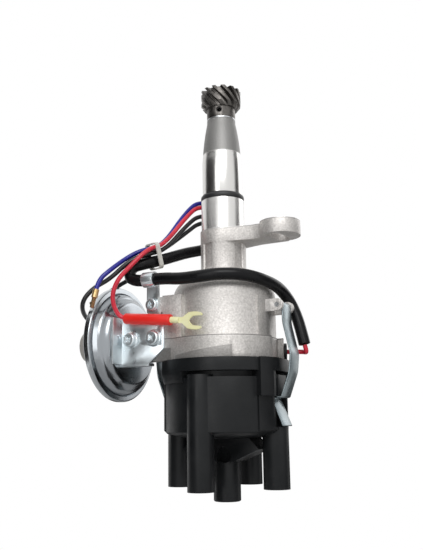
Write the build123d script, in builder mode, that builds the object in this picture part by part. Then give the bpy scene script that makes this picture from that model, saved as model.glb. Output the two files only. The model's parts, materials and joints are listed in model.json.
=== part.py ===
from build123d import *
import os
from math import atan2, cos, degrees, radians, sin, tan

# Ignition distributor, millimetres. Z is the shaft axis and points to the drive gear, X runs
# through the two spring clips, and the origin is on the axis in the hold-down arm's seating face.

os.makedirs("parts", exist_ok=True)

# Fits and gaps
running = 0.03  # radial clearance of a turning shaft
seated = 0.02  # radial clearance of two pieces of one body
gap = 0.3  # between pieces that move past each other

# Stem: heights of its steps above the seating face, and their radii
stem_top_z = 74.6
nose_r = 9.2
nose_z = 72.6
flare_z = 63.0
flare_r = 10.9
cast_end_z = 51.5
cast_end_r = 12.1
lead_in_z = 45.5
upper_stem_r = 12.64
groove_z = 22.0
groove_width = 4.0
groove_r = 10.5
ring_section_half = 1.6
ring_height_half = 1.9
lower_stem_r = 13.5

# Neck, dome and bowl
arm_thickness = 8.9
hub_r = 14.3
neck_r = 13.3
neck_pad_r = 14.2
neck_pad_width = 14.2
neck_pad_angle = -63.0
neck_bottom_z = -23.5
dome_mid_r = 26.0
dome_mid_z = -31.5
bowl_top_z = -44.0
bowl_r = 31.5
ledge_z = -68.4
skirt_r = 36.0
bowl_bottom_z = -81.5

# Inside of the housing
shaft_r = 6.0
stem_bore_r = 7.0
bush_r = 7.6
bush_length = 18.0
seal_r = 11.0
seal_width = 6.0
upper_cavity_r = 24.0
lower_cavity_r = 28.5
cavity_top_z = -44.0
plate_ledge_z = -62.0

# Hold-down arm
arm_reach = 41.3
arm_angle = -7.0
boss_r = 12.2
arm_end_width = 17.0
slot_centre_r = 40.0
slot_half_angle = 8.0
slot_r = 4.3

# Details on the outside of the bowl
rib_angle = -18.0
rib_r = 33.2
rib_width = 9.0
rib_top_z = -44.8
channel_half_angle = 13.4
channel_r = 32.6
wedge_start_angle = -112.0
wedge_end_angle = -57.0
wedge_r = 38.0
wedge_top_z = -74.4
step_end_angle = -44.0
step_r = 37.0
step_z = -79.4

# Flat for the vacuum unit
flat_y = -31.4
flat_right_x = -12.6
flat_left_x = -25.5
flat_top_z = -42.7
wing_left_x = -53.6
wing_top_z = -55.4
wing_thickness = 7.4
clamp_boss_r = 4.6

# Drive gear
gear_face = 12.6
gear_r = 12.85
gear_root_r = 10.2
gear_teeth = 13
helix_angle = 45.0
tooth_root_half = 9.0
tooth_tip_half = 5.0
tooth_bevel = 2.2
tooth_bevel_height = 2.8
collar_r = 9.2
collar_height = 6.9
collar_room = 1.0
pin_rise = 4.3
pin_r = 1.95
pin_half_length = 8.4
pin_angle = -71.0
washer_thickness = 0.7
washer_gap = 0.1

# Cap
cap_r = 37.2
cap_rim_r = 38.7
cap_rim_z = -88.9
rim_cone_start = -156.0
rim_cone_span = 52.0
rim_cone_z = -95.0
cap_edge_z = -124.0
cap_edge_round = 2.0
cap_root_r = 20.0
recess_r = 31.4
cap_floor_z = -127.0
cap_bore_r = 29.0
cap_floor_inside_z = -117.0
panel_r = 36.2
panel_top_z = -92.4
panel_starts = (-81.0, 33.0, 99.0, -147.0)
panel_span = 48.0
tower_circle_r = 31.9
tower_r = 7.65
tower_top_z = -91.0
tower_end_z = -155.4
coil_tower_r = 8.05
coil_tower_end_z = -163.0
socket_r = 4.2
socket_depth = 21.4
plug_pin_height = 9.0
coil_socket_depth = 21.5
coil_plate_thickness = 1.5
terminal_r = 3.4
coil_pin_height = 4.0
lug_r = 41.0
lug_start_angle = -34.0
lug_span = 20.0
lug_bottom_z = -103.2
lug_channel_half = 14.6
pocket_x = 31.4
pocket_half = 9.2
pocket_bottom_z = -120.6
root_end_x = 8.6
root_bottom_z = -140.0
web_tip_z = -133.0
web_end_x = 25.0
arch_x = 2.2
arch_half = 4.6
arch_top_z = -131.6
arch_depth = 3.0
gasket_r = 34.4
gasket_width = 1.8
gasket_depth = 1.0

# Spring clips, drawn in the X-Z plane at Y = 0
clip_pin_x = 39.0
clip_pin_z = -50.5
clip_waist_x = 41.4
clip_waist_z = -61.0
clip_bow_x = 45.4
clip_bow_z = -79.0
clip_calf_x = 44.4
clip_calf_z = -89.0
clip_bend_r = 20.0
clip_bow_r = 12.0
hook_bend_r = 1.2
tab_bend_r = 1.0
clip_pin_r = 1.5
clip_width = 13.0
clip_thickness = 0.9
clip_eye_r = 2.5
ear_thickness = 2.4
ear_r = 3.6
ear_inset = 3.0
hook_x = 32.6
hook_corner_x = 38.9
hook_z = -103.7
tab_x = 39.4
tab_z = -119.8

# Centrifugal advance
carrier_z = -46.2
carrier_thickness = 2.0
carrier_r = 22.6
carrier_hub_r = 14.0
pivot_x = 15.5
pivot_r = 2.0
pivot_end_z = -60.0
weight_thickness = 6.0
weight_in_r = 10.2
weight_out_r = 19.6
weight_near_angle = -14.0
weight_span = 132.0
drive_pin_r = 1.5
drive_pin_x = -2.0
drive_pin_y = 14.0
weight_swing = 10.0
advance_range = 12.0
journal_r = 4.0
journal_top_z = -54.5
journal_end_z = -85.0
ring_groove_z = -83.0
ring_groove_width = 0.9
sleeve_r = 6.5
sleeve_end_z = -82.6
cam_plate_z = -54.8
cam_plate_thickness = 1.5
cam_plate_r = 20.5
cam_plate_half = 9.0
spring_post_x = 6.6
spring_post_y = 13.6
spring_post_r = 1.0
spring_r = 1.7
spring_wire_r = 0.35
spring_z = -58.3

# Trigger plate and pickup
plate_thickness = 1.6
collar_out_r = 12.0
collar_in_r = 10.0
collar_end_z = -66.5
pickup_plate_thickness = 1.5
pickup_plate_r = 23.3
plate_screw_r = 26.2
plate_screw_angles = (-42.0, -138.0)
module_screw_angles = (42.0, 138.0)
screw_shank_r = 1.2
screw_head_r = 2.2
screw_head_height = 1.7
screw_depth = 5.0
reluctor_z = -67.5
reluctor_height = 7.0
reluctor_hub_r = 8.8
reluctor_r = 13.0
reluctor_tooth = 3.2
reluctor_air = 0.5
pickup_angle = 62.0
coil_in_r = 15.2
coil_out_r = 22.2
coil_width = 9.6
coil_height = 9.4
core_width = 3.0
core_out_r = 22.8
core_z = -70.1
module_in_r = 24.3
module_out_r = 28.2
module_half_angle = 42.0
module_end_z = -76.0
module_ear = 1.6
module_ear_half = 53.0

# Vacuum unit, its axis parallel to X
vac_y = -18.0
vac_z = -68.5
rim_x = -65.0
rim_r = 35.8
rim_half = 2.2
shell = 1.2
pan_hole_r = 6.0
rod_hole_r = 2.2
plateau_x = -55.0
plateau_r = 25.5
cover_shoulder_x = -78.0
cover_shoulder_r = 21.0
vac_boss_r = 12.0
vac_boss_x = -90.0
vac_boss_step_x = -85.5
vac_boss_step_r = 10.4
nipple_r = 2.75
nipple_bore_r = 1.5
nipple_x = -83.6
nipple_length = 15.0
nipple_bevel = 1.0
diaphragm_plate_r = 14.0
diaphragm_x = -60.4
diaphragm_thickness = 0.8
vac_spring_r = 8.6
vac_spring_wire_r = 0.8
vacuum_range = 12.0
rod_width = 4.0
rod_thickness = 1.5
rod_pin_radius = 18.05
rod_pin_r = 1.5
rod_pin_clearance = 0.35
rod_slot_half = 4.0
rod_slot_top_z = -65.6
rod_slot_bottom_z = -72.0
rod_slot_end_x = -10.0

# Vacuum bracket
bracket_thickness = 1.6
bracket_left_x = -55.0
bracket_right_x = -23.7
bracket_top_z = -54.6
bracket_bottom_z = -82.5
bracket_corner = 9.8
bracket_corner_height = 8.2
bracket_flange = 11.0
bracket_return = 6.0
bracket_return_length = 21.0
bracket_screw_x = (-46.9, -30.4)
bracket_screw_z = -68.0
bracket_screw_r = 2.0
bracket_head_r = 4.2
bracket_head_height = 2.6
bracket_washer_r = 5.1
bracket_washer = 0.8
bracket_screw_length = 6.6

# P-clip over the sleeve
clamp_x = -31.4
clamp_width = 7.9
clamp_z = -33.0
clamp_strap = 1.0
clamp_ring_shift = 0.9
clamp_screw_z = -48.0
clamp_tail_z = -52.6
clamp_screw_r = 2.0
clamp_head_r = 3.8
clamp_head_height = 2.3
clamp_screw_length = 8.0

# Rotor
rotor_top_z = -77.0
rotor_end_z = -97.0
rotor_hub_r = 10.0
rotor_skirt_r = 14.0
rotor_skirt_top_z = -86.0
rotor_skirt_thickness = 2.4
rotor_arm_width = 11.0
rotor_arm_reach = 19.5
rotor_arm_top_z = -90.5
contact_width = 7.0
contact_thickness = 1.2
contact_reach = 21.9
brush_r = 2.5
brush_end_z = -112.0
brush_tube_r = 5.4
brush_tube_z = -104.0
post_circle_r = 25.0
post_r = 2.3
post_top_z = -99.0
bridge_top_z = -121.6
bridge_height = 4.0

# Leads
sleeve_radius = 3.6
lead_radius = 1.4
grommet_angle = 25.0
grommet_z = -76.0
grommet_r = 4.2
grommet_length = 5.0
grommet_flange_r = 5.2
bend_share = 0.45
boot_start_x = -48.0
boot_length = 32.2
boot_y = -37.2
boot_z = -55.5
boot_fall = 0.1
boot_r = 3.3
fork_barrel_r = 1.9
fork_barrel_length = 5.4
fork_thickness = 0.8
fork_outer_half = 3.9
fork_inner_half = 2.2
fork_centre = 40.0
fork_prong_length = 13.0
crimp_r = 1.9
crimp_length = 5.0
blade_thickness = 0.8
tie_band = 3.0
tie_thickness = 0.9
tie_half_width = 4.5
tie_half_height = 7.4
tie_head = 4.0
grommet_flange = 1.6


def on_circle(radius, angle):
    return (radius * cos(radians(angle)), radius * sin(radians(angle)))


# Heights and places that follow from the sizes above
plug_terminal_z = tower_end_z + socket_depth + plug_pin_height
coil_terminal_z = coil_tower_end_z + coil_socket_depth + coil_plate_thickness
collar_bottom_z = stem_top_z + collar_room
pin_z = collar_bottom_z + pin_rise
teeth_bottom_z = collar_bottom_z + collar_height
gear_top_z = teeth_bottom_z + gear_face
clip_pin_half = clip_width / 2 + gap + ear_thickness
carrier_bottom_z = carrier_z - carrier_thickness
weight_top_z = carrier_bottom_z - gap
weight_bottom_z = weight_top_z - weight_thickness
plate_bottom_z = plate_ledge_z - plate_thickness
pickup_plate_z = plate_bottom_z - gap
pickup_plate_bottom_z = pickup_plate_z - pickup_plate_thickness
contact_top_z = rotor_end_z
contact_bottom_z = contact_top_z - contact_thickness
grommet_plane = Plane(
    origin=(*on_circle(skirt_r, grommet_angle), grommet_z),
    z_dir=(*on_circle(1, grommet_angle), 0),
)
tie_plane = Plane(origin=(-35.9, -24.2, -15.7), x_dir=(0.957, -0.290, 0.0), z_dir=(0.279, 0.921, 0.272))
seal_top_z = cavity_top_z + seal_width + 0.4
groove_top_z = groove_z + groove_width / 2
groove_bottom_z = groove_z - groove_width / 2

with BuildPart() as housing:
    # Turned form: stem, neck, dome, bowl and skirt
    with BuildSketch(Plane.XZ):
        with BuildLine():
            Polyline((0, stem_top_z), (nose_r, stem_top_z), (nose_r, nose_z))
            ThreePointArc((nose_r, nose_z), (flare_r, flare_z), (cast_end_r, cast_end_z))
            Polyline(
                (cast_end_r, cast_end_z),
                (upper_stem_r, lead_in_z),
                (upper_stem_r, groove_top_z),
                (groove_r, groove_top_z),
                (groove_r, groove_bottom_z),
                (lower_stem_r, groove_bottom_z),
                (lower_stem_r, 0),
                (hub_r, 0),
                (hub_r, -arm_thickness),
                (neck_r, -arm_thickness),
                (neck_r, neck_bottom_z),
            )
            ThreePointArc(
                (neck_r, neck_bottom_z),
                (neck_r + 2.2, neck_bottom_z - 3.4),
                (neck_r + 6.5, neck_bottom_z - 5.0),
            )
            Line((neck_r + 6.5, neck_bottom_z - 5.0), (dome_mid_r - 2.0, dome_mid_z))
            ThreePointArc(
                (dome_mid_r - 2.0, dome_mid_z),
                (bowl_r - 2.0, dome_mid_z - 4.6),
                (bowl_r, bowl_top_z),
            )
            Polyline(
                (bowl_r, bowl_top_z),
                (bowl_r, ledge_z),
                (skirt_r, ledge_z),
                (skirt_r, bowl_bottom_z),
                (0, bowl_bottom_z),
                (0, stem_top_z),
            )
        make_face()
    revolve(axis=Axis.Z)

    # Raised cast pads around the neck
    with BuildSketch(Plane.XY.offset(-arm_thickness)):
        with PolarLocations(0, 4, start_angle=neck_pad_angle):
            Rectangle(neck_pad_r, neck_pad_width, align=(Align.MIN, Align.CENTER))
        Circle(neck_pad_r, mode=Mode.INTERSECT)
    extrude(amount=neck_bottom_z + arm_thickness - 3.0)

    # Hold-down arm: a web that runs tangent from the hub to the boss
    with BuildSketch(Plane.XY):
        with Locations(Rot(0, 0, arm_angle)):
            with Locations((arm_reach, 0)):
                Circle(boss_r)
            with BuildLine():
                Polyline(
                    (0, -hub_r),
                    (arm_reach * 0.55, -arm_end_width / 2),
                    (arm_reach, -arm_end_width / 2),
                    (arm_reach, arm_end_width / 2),
                    (arm_reach * 0.55, arm_end_width / 2),
                    (0, hub_r),
                    close=True,
                )
            make_face()
    extrude(amount=-arm_thickness)

    # Rib beside the clip channel
    with BuildSketch(Plane.XY.offset(ledge_z)):
        with Locations(Rot(0, 0, rib_angle)):
            Rectangle(rib_r, rib_width, align=(Align.MIN, Align.CENTER))
        Circle(rib_r, mode=Mode.INTERSECT)
    extrude(amount=rib_top_z - ledge_z)

    # Sloping lip and locating step at the skirt's foot
    for start, end, radius, top in (
        (wedge_start_angle, wedge_end_angle, wedge_r, wedge_top_z),
        (wedge_end_angle, step_end_angle, step_r, step_z),
    ):
        with BuildSketch(Plane.XY.offset(bowl_bottom_z)):
            with BuildLine():
                arc = CenterArc((0, 0), radius, start, end - start)
                Line((0, 0), arc @ 0)
                Line((0, 0), arc @ 1)
            make_face()
        extrude(amount=top - bowl_bottom_z)

    # Channel in the skirt behind each clip
    with BuildSketch(Plane.XY.offset(bowl_bottom_z)):
        Circle(skirt_r + gap)
        Circle(channel_r, mode=Mode.SUBTRACT)
        with PolarLocations(0, 2):
            Rectangle(skirt_r * 2, 2 * skirt_r * sin(radians(channel_half_angle)), mode=Mode.INTERSECT)
    extrude(amount=ledge_z - bowl_bottom_z, mode=Mode.SUBTRACT)

    # Flat block, wing and clamp boss that carry the vacuum unit
    with BuildSketch(Plane.XZ.offset(-flat_y)):
        with BuildLine():
            Polyline(
                (flat_right_x, flat_top_z),
                (flat_left_x, flat_top_z),
                (flat_left_x, wing_top_z),
                (wing_left_x, wing_top_z),
                (wing_left_x, bowl_bottom_z),
                (flat_right_x, bowl_bottom_z),
                close=True,
            )
        make_face()
        with Locations((clamp_x, clamp_screw_z)):
            Circle(clamp_boss_r)
            Rectangle(2 * clamp_boss_r, clamp_screw_z - wing_top_z, align=(Align.CENTER, Align.MAX))
            Rectangle(flat_left_x - clamp_x, 2 * clamp_boss_r, align=(Align.MIN, Align.CENTER))
    extrude(amount=-wing_thickness)
    with BuildSketch(Plane.XZ.offset(-flat_y)):
        with Locations((flat_left_x, bowl_bottom_z)):
            Rectangle(
                flat_right_x - flat_left_x,
                flat_top_z - bowl_bottom_z,
                align=(Align.MIN, Align.MIN),
            )
    extrude(amount=flat_y + bowl_r / 2)

    # Ears for the clip pins, two on each side
    for side in (-1, 1):
        for start_y in (-clip_width / 2 - gap - ear_thickness, clip_width / 2 + gap):
            with BuildSketch(Plane.XZ.offset(-start_y)):
                with Locations((side * clip_pin_x, clip_pin_z)):
                    Circle(ear_r)
                with Locations((side * (clip_pin_x + bowl_r - ear_inset) / 2, clip_pin_z)):
                    Rectangle(clip_pin_x - bowl_r + ear_inset, 2 * ear_r)
            extrude(amount=-ear_thickness)

    # Cavities: the bush bores, the relief between them, the seal's seat and the two-step bowl
    with BuildSketch(Plane.XZ):
        with BuildLine():
            Polyline(
                (0, stem_top_z + 1),
                (bush_r, stem_top_z + 1),
                (bush_r, stem_top_z - bush_length),
                (stem_bore_r, stem_top_z - bush_length),
                (stem_bore_r, seal_top_z + bush_length),
                (bush_r, seal_top_z + bush_length),
                (bush_r, seal_top_z),
                (seal_r, seal_top_z),
                (seal_r, cavity_top_z),
                (upper_cavity_r, cavity_top_z),
                (upper_cavity_r, plate_ledge_z),
                (lower_cavity_r, plate_ledge_z),
                (lower_cavity_r, bowl_bottom_z - 1),
                (0, bowl_bottom_z - 1),
                close=True,
            )
        make_face()
    revolve(axis=Axis.Z, mode=Mode.SUBTRACT)

    # Arc slot of the arm
    with BuildSketch(Plane.XY):
        with Locations(Rot(0, 0, arm_angle)):
            SlotArc(CenterArc((0, 0), slot_centre_r, -slot_half_angle, 2 * slot_half_angle), 2 * slot_r)
    extrude(amount=-arm_thickness, mode=Mode.SUBTRACT)

    # Slot for the vacuum rod, screw holes, pin holes and the leads' hole
    with Locations((-skirt_r, vac_y, (rod_slot_top_z + rod_slot_bottom_z) / 2)):
        Box(
            2 * (skirt_r + rod_slot_end_x),
            2 * rod_slot_half,
            rod_slot_top_z - rod_slot_bottom_z,
            mode=Mode.SUBTRACT,
        )
    with BuildSketch(Plane.XZ.offset(-flat_y)):
        with Locations(*[(x, bracket_screw_z) for x in bracket_screw_x]):
            Circle(bracket_screw_r + seated)
    extrude(amount=-(bracket_screw_length - bracket_thickness + gap), mode=Mode.SUBTRACT)
    with BuildSketch(Plane.XZ.offset(-flat_y)):
        with Locations((clamp_x, clamp_screw_z)):
            Circle(clamp_screw_r + seated)
    extrude(amount=-(clamp_screw_length - 2 * clamp_strap + gap), mode=Mode.SUBTRACT)
    with BuildSketch(Plane.XZ.offset(-clip_pin_half)):
        with Locations((clip_pin_x, clip_pin_z), (-clip_pin_x, clip_pin_z)):
            Circle(clip_pin_r + seated)
    extrude(amount=2 * clip_pin_half, mode=Mode.SUBTRACT)
    with BuildSketch(Plane.XY.offset(plate_ledge_z)):
        with Locations(*[on_circle(plate_screw_r, a) for a in plate_screw_angles + module_screw_angles]):
            Circle(screw_shank_r + seated)
    extrude(amount=screw_depth, mode=Mode.SUBTRACT)
    with BuildSketch(grommet_plane):
        Circle(grommet_r + seated)
    extrude(amount=-grommet_length - 4, mode=Mode.SUBTRACT)
housing.part.label = "housing"
export_step(housing.part, "parts/housing.step")

for node, top_z in (("stem_bush_upper", stem_top_z), ("stem_bush_lower", seal_top_z + bush_length)):
    with BuildPart() as stem_bush:
        with BuildSketch(Plane.XY.offset(top_z)):
            Circle(bush_r - seated)
            Circle(shaft_r + running, mode=Mode.SUBTRACT)
        extrude(amount=-bush_length)
    stem_bush.part.label = node
    export_step(stem_bush.part, f"parts/{node}.step")

with BuildPart() as o_ring:
    with BuildSketch(Plane.XZ):
        with Locations((groove_r + seated + ring_section_half, groove_z)):
            Ellipse(ring_section_half, ring_height_half)
    revolve(axis=Axis.Z)
o_ring.part.label = "o_ring"
export_step(o_ring.part, "parts/o_ring.step")

with BuildPart() as oil_seal:
    # Cased outer ring and a sprung lip that rides on the shaft
    with BuildSketch(Plane.XZ):
        with BuildLine():
            Polyline(
                (seal_r - seated, seal_top_z - seated),
                (shaft_r + 2.0, seal_top_z - seated),
                (shaft_r + running, seal_top_z - 2.2),
                (shaft_r + running, seal_top_z - 3.0),
                (shaft_r + 1.6, seal_top_z - 4.4),
                (shaft_r + 3.4, seal_top_z - 4.4),
                (shaft_r + 3.4, seal_top_z - 1.6),
                (seal_r - 1.2, seal_top_z - 1.6),
                (seal_r - 1.2, seal_top_z - seal_width),
                (seal_r - seated, seal_top_z - seal_width),
                close=True,
            )
        make_face()
    revolve(axis=Axis.Z)
oil_seal.part.label = "oil_seal"
export_step(oil_seal.part, "parts/oil_seal.step")

pin_direction = Plane(
    origin=(0, 0, pin_z),
    z_dir=(*on_circle(1, pin_angle), 0),
)
with BuildPart() as drive_shaft:
    with BuildSketch(Plane.XZ):
        with BuildLine():
            Polyline(
                (0, gear_top_z - 0.4),
                (shaft_r - 0.8, gear_top_z - 0.4),
                (shaft_r, gear_top_z - 1.2),
                (shaft_r, journal_top_z),
                (journal_r, journal_top_z),
                (journal_r, journal_end_z + 0.5),
                (journal_r - 0.5, journal_end_z),
                (0, journal_end_z),
                close=True,
            )
        make_face()
    revolve(axis=Axis.Z)
    with BuildSketch(pin_direction.offset(-shaft_r - 1)):
        Circle(pin_r + seated)
    extrude(amount=2 * shaft_r + 2, mode=Mode.SUBTRACT)
    with BuildSketch(Plane.XY.offset(ring_groove_z)):
        Circle(journal_r + 1)
        Circle(journal_r - 0.6, mode=Mode.SUBTRACT)
    extrude(amount=-ring_groove_width, mode=Mode.SUBTRACT)
drive_shaft.part.label = "drive_shaft"
export_step(drive_shaft.part, "parts/drive_shaft.step")

with BuildSketch(Plane.XY.offset(teeth_bottom_z)) as tooth_ring:
    with PolarLocations(0, gear_teeth):
        Polygon(
            on_circle(gear_root_r - 0.6, -tooth_root_half),
            on_circle(gear_root_r, -tooth_root_half),
            on_circle(gear_r + 0.4, -tooth_tip_half),
            on_circle(gear_r + 0.4, tooth_tip_half),
            on_circle(gear_root_r, tooth_root_half),
            on_circle(gear_root_r - 0.6, tooth_root_half),
            align=None,
        )
    Circle(gear_r, mode=Mode.INTERSECT)
    Circle(gear_root_r)
with BuildPart() as drive_gear:
    # Thirteen helical teeth turned about the shaft, bevelled at their lower ends, on a pinned collar
    lead_turn = degrees(gear_face * tan(radians(helix_angle)) / gear_r)
    add(
        Solid.extrude_linear_with_rotation(
            tooth_ring.sketch.faces()[0], (0, 0, teeth_bottom_z), (0, 0, gear_face), -lead_turn
        )
    )
    with BuildSketch(Plane.XZ):
        Polygon(
            (gear_r - tooth_bevel, teeth_bottom_z - 0.1),
            (gear_r + 0.1, teeth_bottom_z - 0.1),
            (gear_r + 0.1, teeth_bottom_z + tooth_bevel_height),
            align=None,
        )
    revolve(axis=Axis.Z, mode=Mode.SUBTRACT)
    with BuildSketch(Plane.XY.offset(teeth_bottom_z)):
        Circle(collar_r)
    extrude(amount=collar_bottom_z - teeth_bottom_z)
    with BuildSketch(Plane.XY.offset(gear_top_z)):
        Circle(shaft_r + seated)
    extrude(amount=collar_bottom_z - gear_top_z, mode=Mode.SUBTRACT)
    with BuildSketch(pin_direction.offset(-collar_r - 1)):
        Circle(pin_r + seated)
    extrude(amount=2 * collar_r + 2, mode=Mode.SUBTRACT)
drive_gear.part.label = "drive_gear"
export_step(drive_gear.part, "parts/drive_gear.step")

with BuildPart() as gear_pin:
    # Rolled spring pin with its slot
    with BuildSketch(pin_direction.offset(-pin_half_length)):
        Circle(pin_r)
        Circle(pin_r - 0.55, mode=Mode.SUBTRACT)
        Rectangle(pin_r + 1, 0.4, align=(Align.MIN, Align.CENTER), mode=Mode.SUBTRACT)
    extrude(amount=2 * pin_half_length)
gear_pin.part.label = "gear_pin"
export_step(gear_pin.part, "parts/gear_pin.step")

with BuildPart() as thrust_washer:
    with BuildSketch(Plane.XY.offset(collar_bottom_z - washer_gap)):
        Circle(collar_r)
        Circle(shaft_r + seated, mode=Mode.SUBTRACT)
    extrude(amount=-washer_thickness)
thrust_washer.part.label = "thrust_washer"
export_step(thrust_washer.part, "parts/thrust_washer.step")

with BuildPart() as weight_carrier:
    with BuildSketch(Plane.XY.offset(carrier_z)):
        Circle(carrier_r)
        with PolarLocations((carrier_r + carrier_hub_r) / 2, 4, start_angle=45):
            Circle((carrier_r - carrier_hub_r) / 3, mode=Mode.SUBTRACT)
    extrude(amount=-carrier_thickness)
    with BuildSketch(Plane.XY.offset(cavity_top_z - gap)):
        Circle(carrier_hub_r)
    extrude(amount=carrier_z - cavity_top_z + gap)
    with BuildSketch(Plane.XY.offset(carrier_bottom_z)):
        with PolarLocations(pivot_x, 2):
            Circle(pivot_r)
    extrude(amount=pivot_end_z - carrier_bottom_z)
    with BuildSketch(Plane.XY.offset(cavity_top_z)):
        Circle(shaft_r + seated)
    extrude(amount=-carrier_thickness - 5, mode=Mode.SUBTRACT)
weight_carrier.part.label = "weight_carrier"
export_step(weight_carrier.part, "parts/weight_carrier.step")

for node, turn in (("weight_a", 0), ("weight_b", 180)):
    with BuildPart() as weight:
        with BuildSketch(Plane.XY.offset(weight_top_z)):
            with BuildLine():
                outer = CenterArc((0, 0), weight_out_r, turn + weight_near_angle, weight_span)
                inner = CenterArc((0, 0), weight_in_r, turn + weight_near_angle, weight_span)
                Line(outer @ 0, inner @ 0)
                Line(outer @ 1, inner @ 1)
            make_face()
            with Locations(on_circle(pivot_x, turn)):
                Circle(pivot_r + running, mode=Mode.SUBTRACT)
        extrude(amount=-weight_thickness)
        with BuildSketch(Plane.XY.offset(weight_bottom_z)):
            with Locations(Rot(0, 0, turn)):
                with Locations((drive_pin_x, drive_pin_y)):
                    Circle(drive_pin_r)
        extrude(amount=cam_plate_z - cam_plate_thickness - 0.8 - weight_bottom_z)
    weight.part.label = node
    export_step(weight.part, f"parts/{node}.step")


def drive_pin_on_cam(share):
    # Where a weight's pin stands on the cam plate when that share of the advance is in
    swing = radians(-weight_swing * share)
    advance = radians(-advance_range * share)
    x = pivot_x + (drive_pin_x - pivot_x) * cos(swing) - drive_pin_y * sin(swing)
    y = (drive_pin_x - pivot_x) * sin(swing) + drive_pin_y * cos(swing)
    return (x * cos(advance) - y * sin(advance), x * sin(advance) + y * cos(advance))


with BuildPart() as advance_cam:
    # Cam plate with a slot for each weight's pin, on a sleeve that turns on the shaft
    with BuildSketch(Plane.XY.offset(cam_plate_z)):
        Circle(cam_plate_r)
        Rectangle(2 * cam_plate_half, 2 * cam_plate_r, mode=Mode.INTERSECT)
        slot_line = ThreePointArc(drive_pin_on_cam(0), drive_pin_on_cam(0.5), drive_pin_on_cam(1))
        with PolarLocations(0, 2):
            SlotArc(slot_line, 2 * (drive_pin_r + gap), mode=Mode.SUBTRACT)
    extrude(amount=-cam_plate_thickness)
    with BuildSketch(Plane.XY.offset(cam_plate_z)):
        Circle(sleeve_r)
    extrude(amount=sleeve_end_z - cam_plate_z)
    with BuildSketch(Plane.XY.offset(cam_plate_z - cam_plate_thickness)):
        with PolarLocations(0, 2):
            with Locations((spring_post_x, spring_post_y)):
                Circle(spring_post_r)
    extrude(amount=pivot_end_z - cam_plate_z + cam_plate_thickness)
    with BuildSketch(Plane.XY.offset(cam_plate_z + 1)):
        Circle(journal_r + running)
    extrude(amount=sleeve_end_z - cam_plate_z - 2, mode=Mode.SUBTRACT)
advance_cam.part.label = "advance_cam"
export_step(advance_cam.part, "parts/advance_cam.step")

with BuildPart() as snap_ring:
    with BuildSketch(Plane.XY.offset(ring_groove_z - seated)):
        Circle(journal_r + 1.2)
        Circle(journal_r - 0.6 + seated, mode=Mode.SUBTRACT)
        Rectangle(journal_r + 2, 2.4, align=(Align.MIN, Align.CENTER), mode=Mode.SUBTRACT)
    extrude(amount=-ring_groove_width + 2 * seated)
snap_ring.part.label = "snap_ring"
export_step(snap_ring.part, "parts/snap_ring.step")

spring_dx = spring_post_x - pivot_x
spring_length = (spring_dx**2 + spring_post_y**2) ** 0.5
spring_angle = degrees(atan2(spring_post_y, spring_dx))
for node, turn in (("weight_spring_a", 0), ("weight_spring_b", 180)):
    with BuildPart() as weight_spring:
        # Close-wound body with a hook round each post
        spring_plane = Plane(
            origin=(*on_circle(pivot_x, turn), spring_z),
            x_dir=(*on_circle(1, turn + spring_angle), 0),
            z_dir=(0, 0, 1),
        )
        pivot_hook_r = pivot_r + spring_wire_r + 2 * seated
        post_hook_r = spring_post_r + spring_wire_r + 2 * seated
        body_start = pivot_hook_r
        body_end = spring_length - post_hook_r
        with BuildSketch(spring_plane):
            Circle(pivot_hook_r + spring_wire_r)
            Circle(pivot_hook_r - spring_wire_r, mode=Mode.SUBTRACT)
            with Locations((spring_length, 0)):
                Circle(post_hook_r + spring_wire_r)
                Circle(post_hook_r - spring_wire_r, mode=Mode.SUBTRACT)
        extrude(amount=spring_wire_r, both=True)
        coil_plane = Plane(spring_plane.origin, x_dir=(0, 0, 1), z_dir=spring_plane.x_dir)
        with BuildSketch(coil_plane.offset(body_start)):
            Circle(spring_r)
            Circle(spring_r - 2 * spring_wire_r, mode=Mode.SUBTRACT)
            Rectangle(2 * spring_wire_r, 2 * spring_r)
            Circle(spring_r, mode=Mode.INTERSECT)
        extrude(amount=body_end - body_start)
    weight_spring.part.label = node
    export_step(weight_spring.part, f"parts/{node}.step")

with BuildPart() as reluctor:
    # One pole for each cylinder
    with BuildSketch(Plane.XY.offset(reluctor_z)):
        with PolarLocations(0, 4, start_angle=pickup_angle):
            Rectangle(reluctor_r + 1, reluctor_tooth, align=(Align.MIN, Align.CENTER))
        Circle(reluctor_r, mode=Mode.INTERSECT)
        Circle(reluctor_hub_r)
        Circle(sleeve_r + seated, mode=Mode.SUBTRACT)
    extrude(amount=-reluctor_height)
reluctor.part.label = "reluctor"
export_step(reluctor.part, "parts/reluctor.step")

with BuildPart() as rotor:
    # Moulded hub with a dust skirt and an arm under the contact
    with BuildSketch(Plane.XY.offset(rotor_top_z)):
        Circle(rotor_hub_r)
    extrude(amount=rotor_end_z - rotor_top_z)
    with BuildSketch(Plane.XY.offset(rotor_skirt_top_z)):
        Circle(rotor_skirt_r)
    extrude(amount=-rotor_skirt_thickness)
    with BuildSketch(Plane.XY.offset(rotor_arm_top_z)):
        with Locations((rotor_arm_reach / 2, 0)):
            RectangleRounded(rotor_arm_reach, rotor_arm_width, 2.0)
    extrude(amount=rotor_end_z - rotor_arm_top_z)
    with BuildSketch(Plane.XY.offset(rotor_top_z)):
        Circle(sleeve_r + seated)
    extrude(amount=journal_end_z - 2 - rotor_top_z, mode=Mode.SUBTRACT)
rotor.part.label = "rotor"
export_step(rotor.part, "parts/rotor.step")

with BuildPart() as rotor_contact:
    with BuildSketch(Plane.XY.offset(contact_top_z)):
        with Locations(((contact_reach - contact_width / 2) / 2, 0)):
            RectangleRounded(contact_reach + contact_width / 2, contact_width, contact_width / 3)
        Circle(contact_reach, mode=Mode.INTERSECT)
    extrude(amount=-contact_thickness)
rotor_contact.part.label = "rotor_contact"
export_step(rotor_contact.part, "parts/rotor_contact.step")

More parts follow.
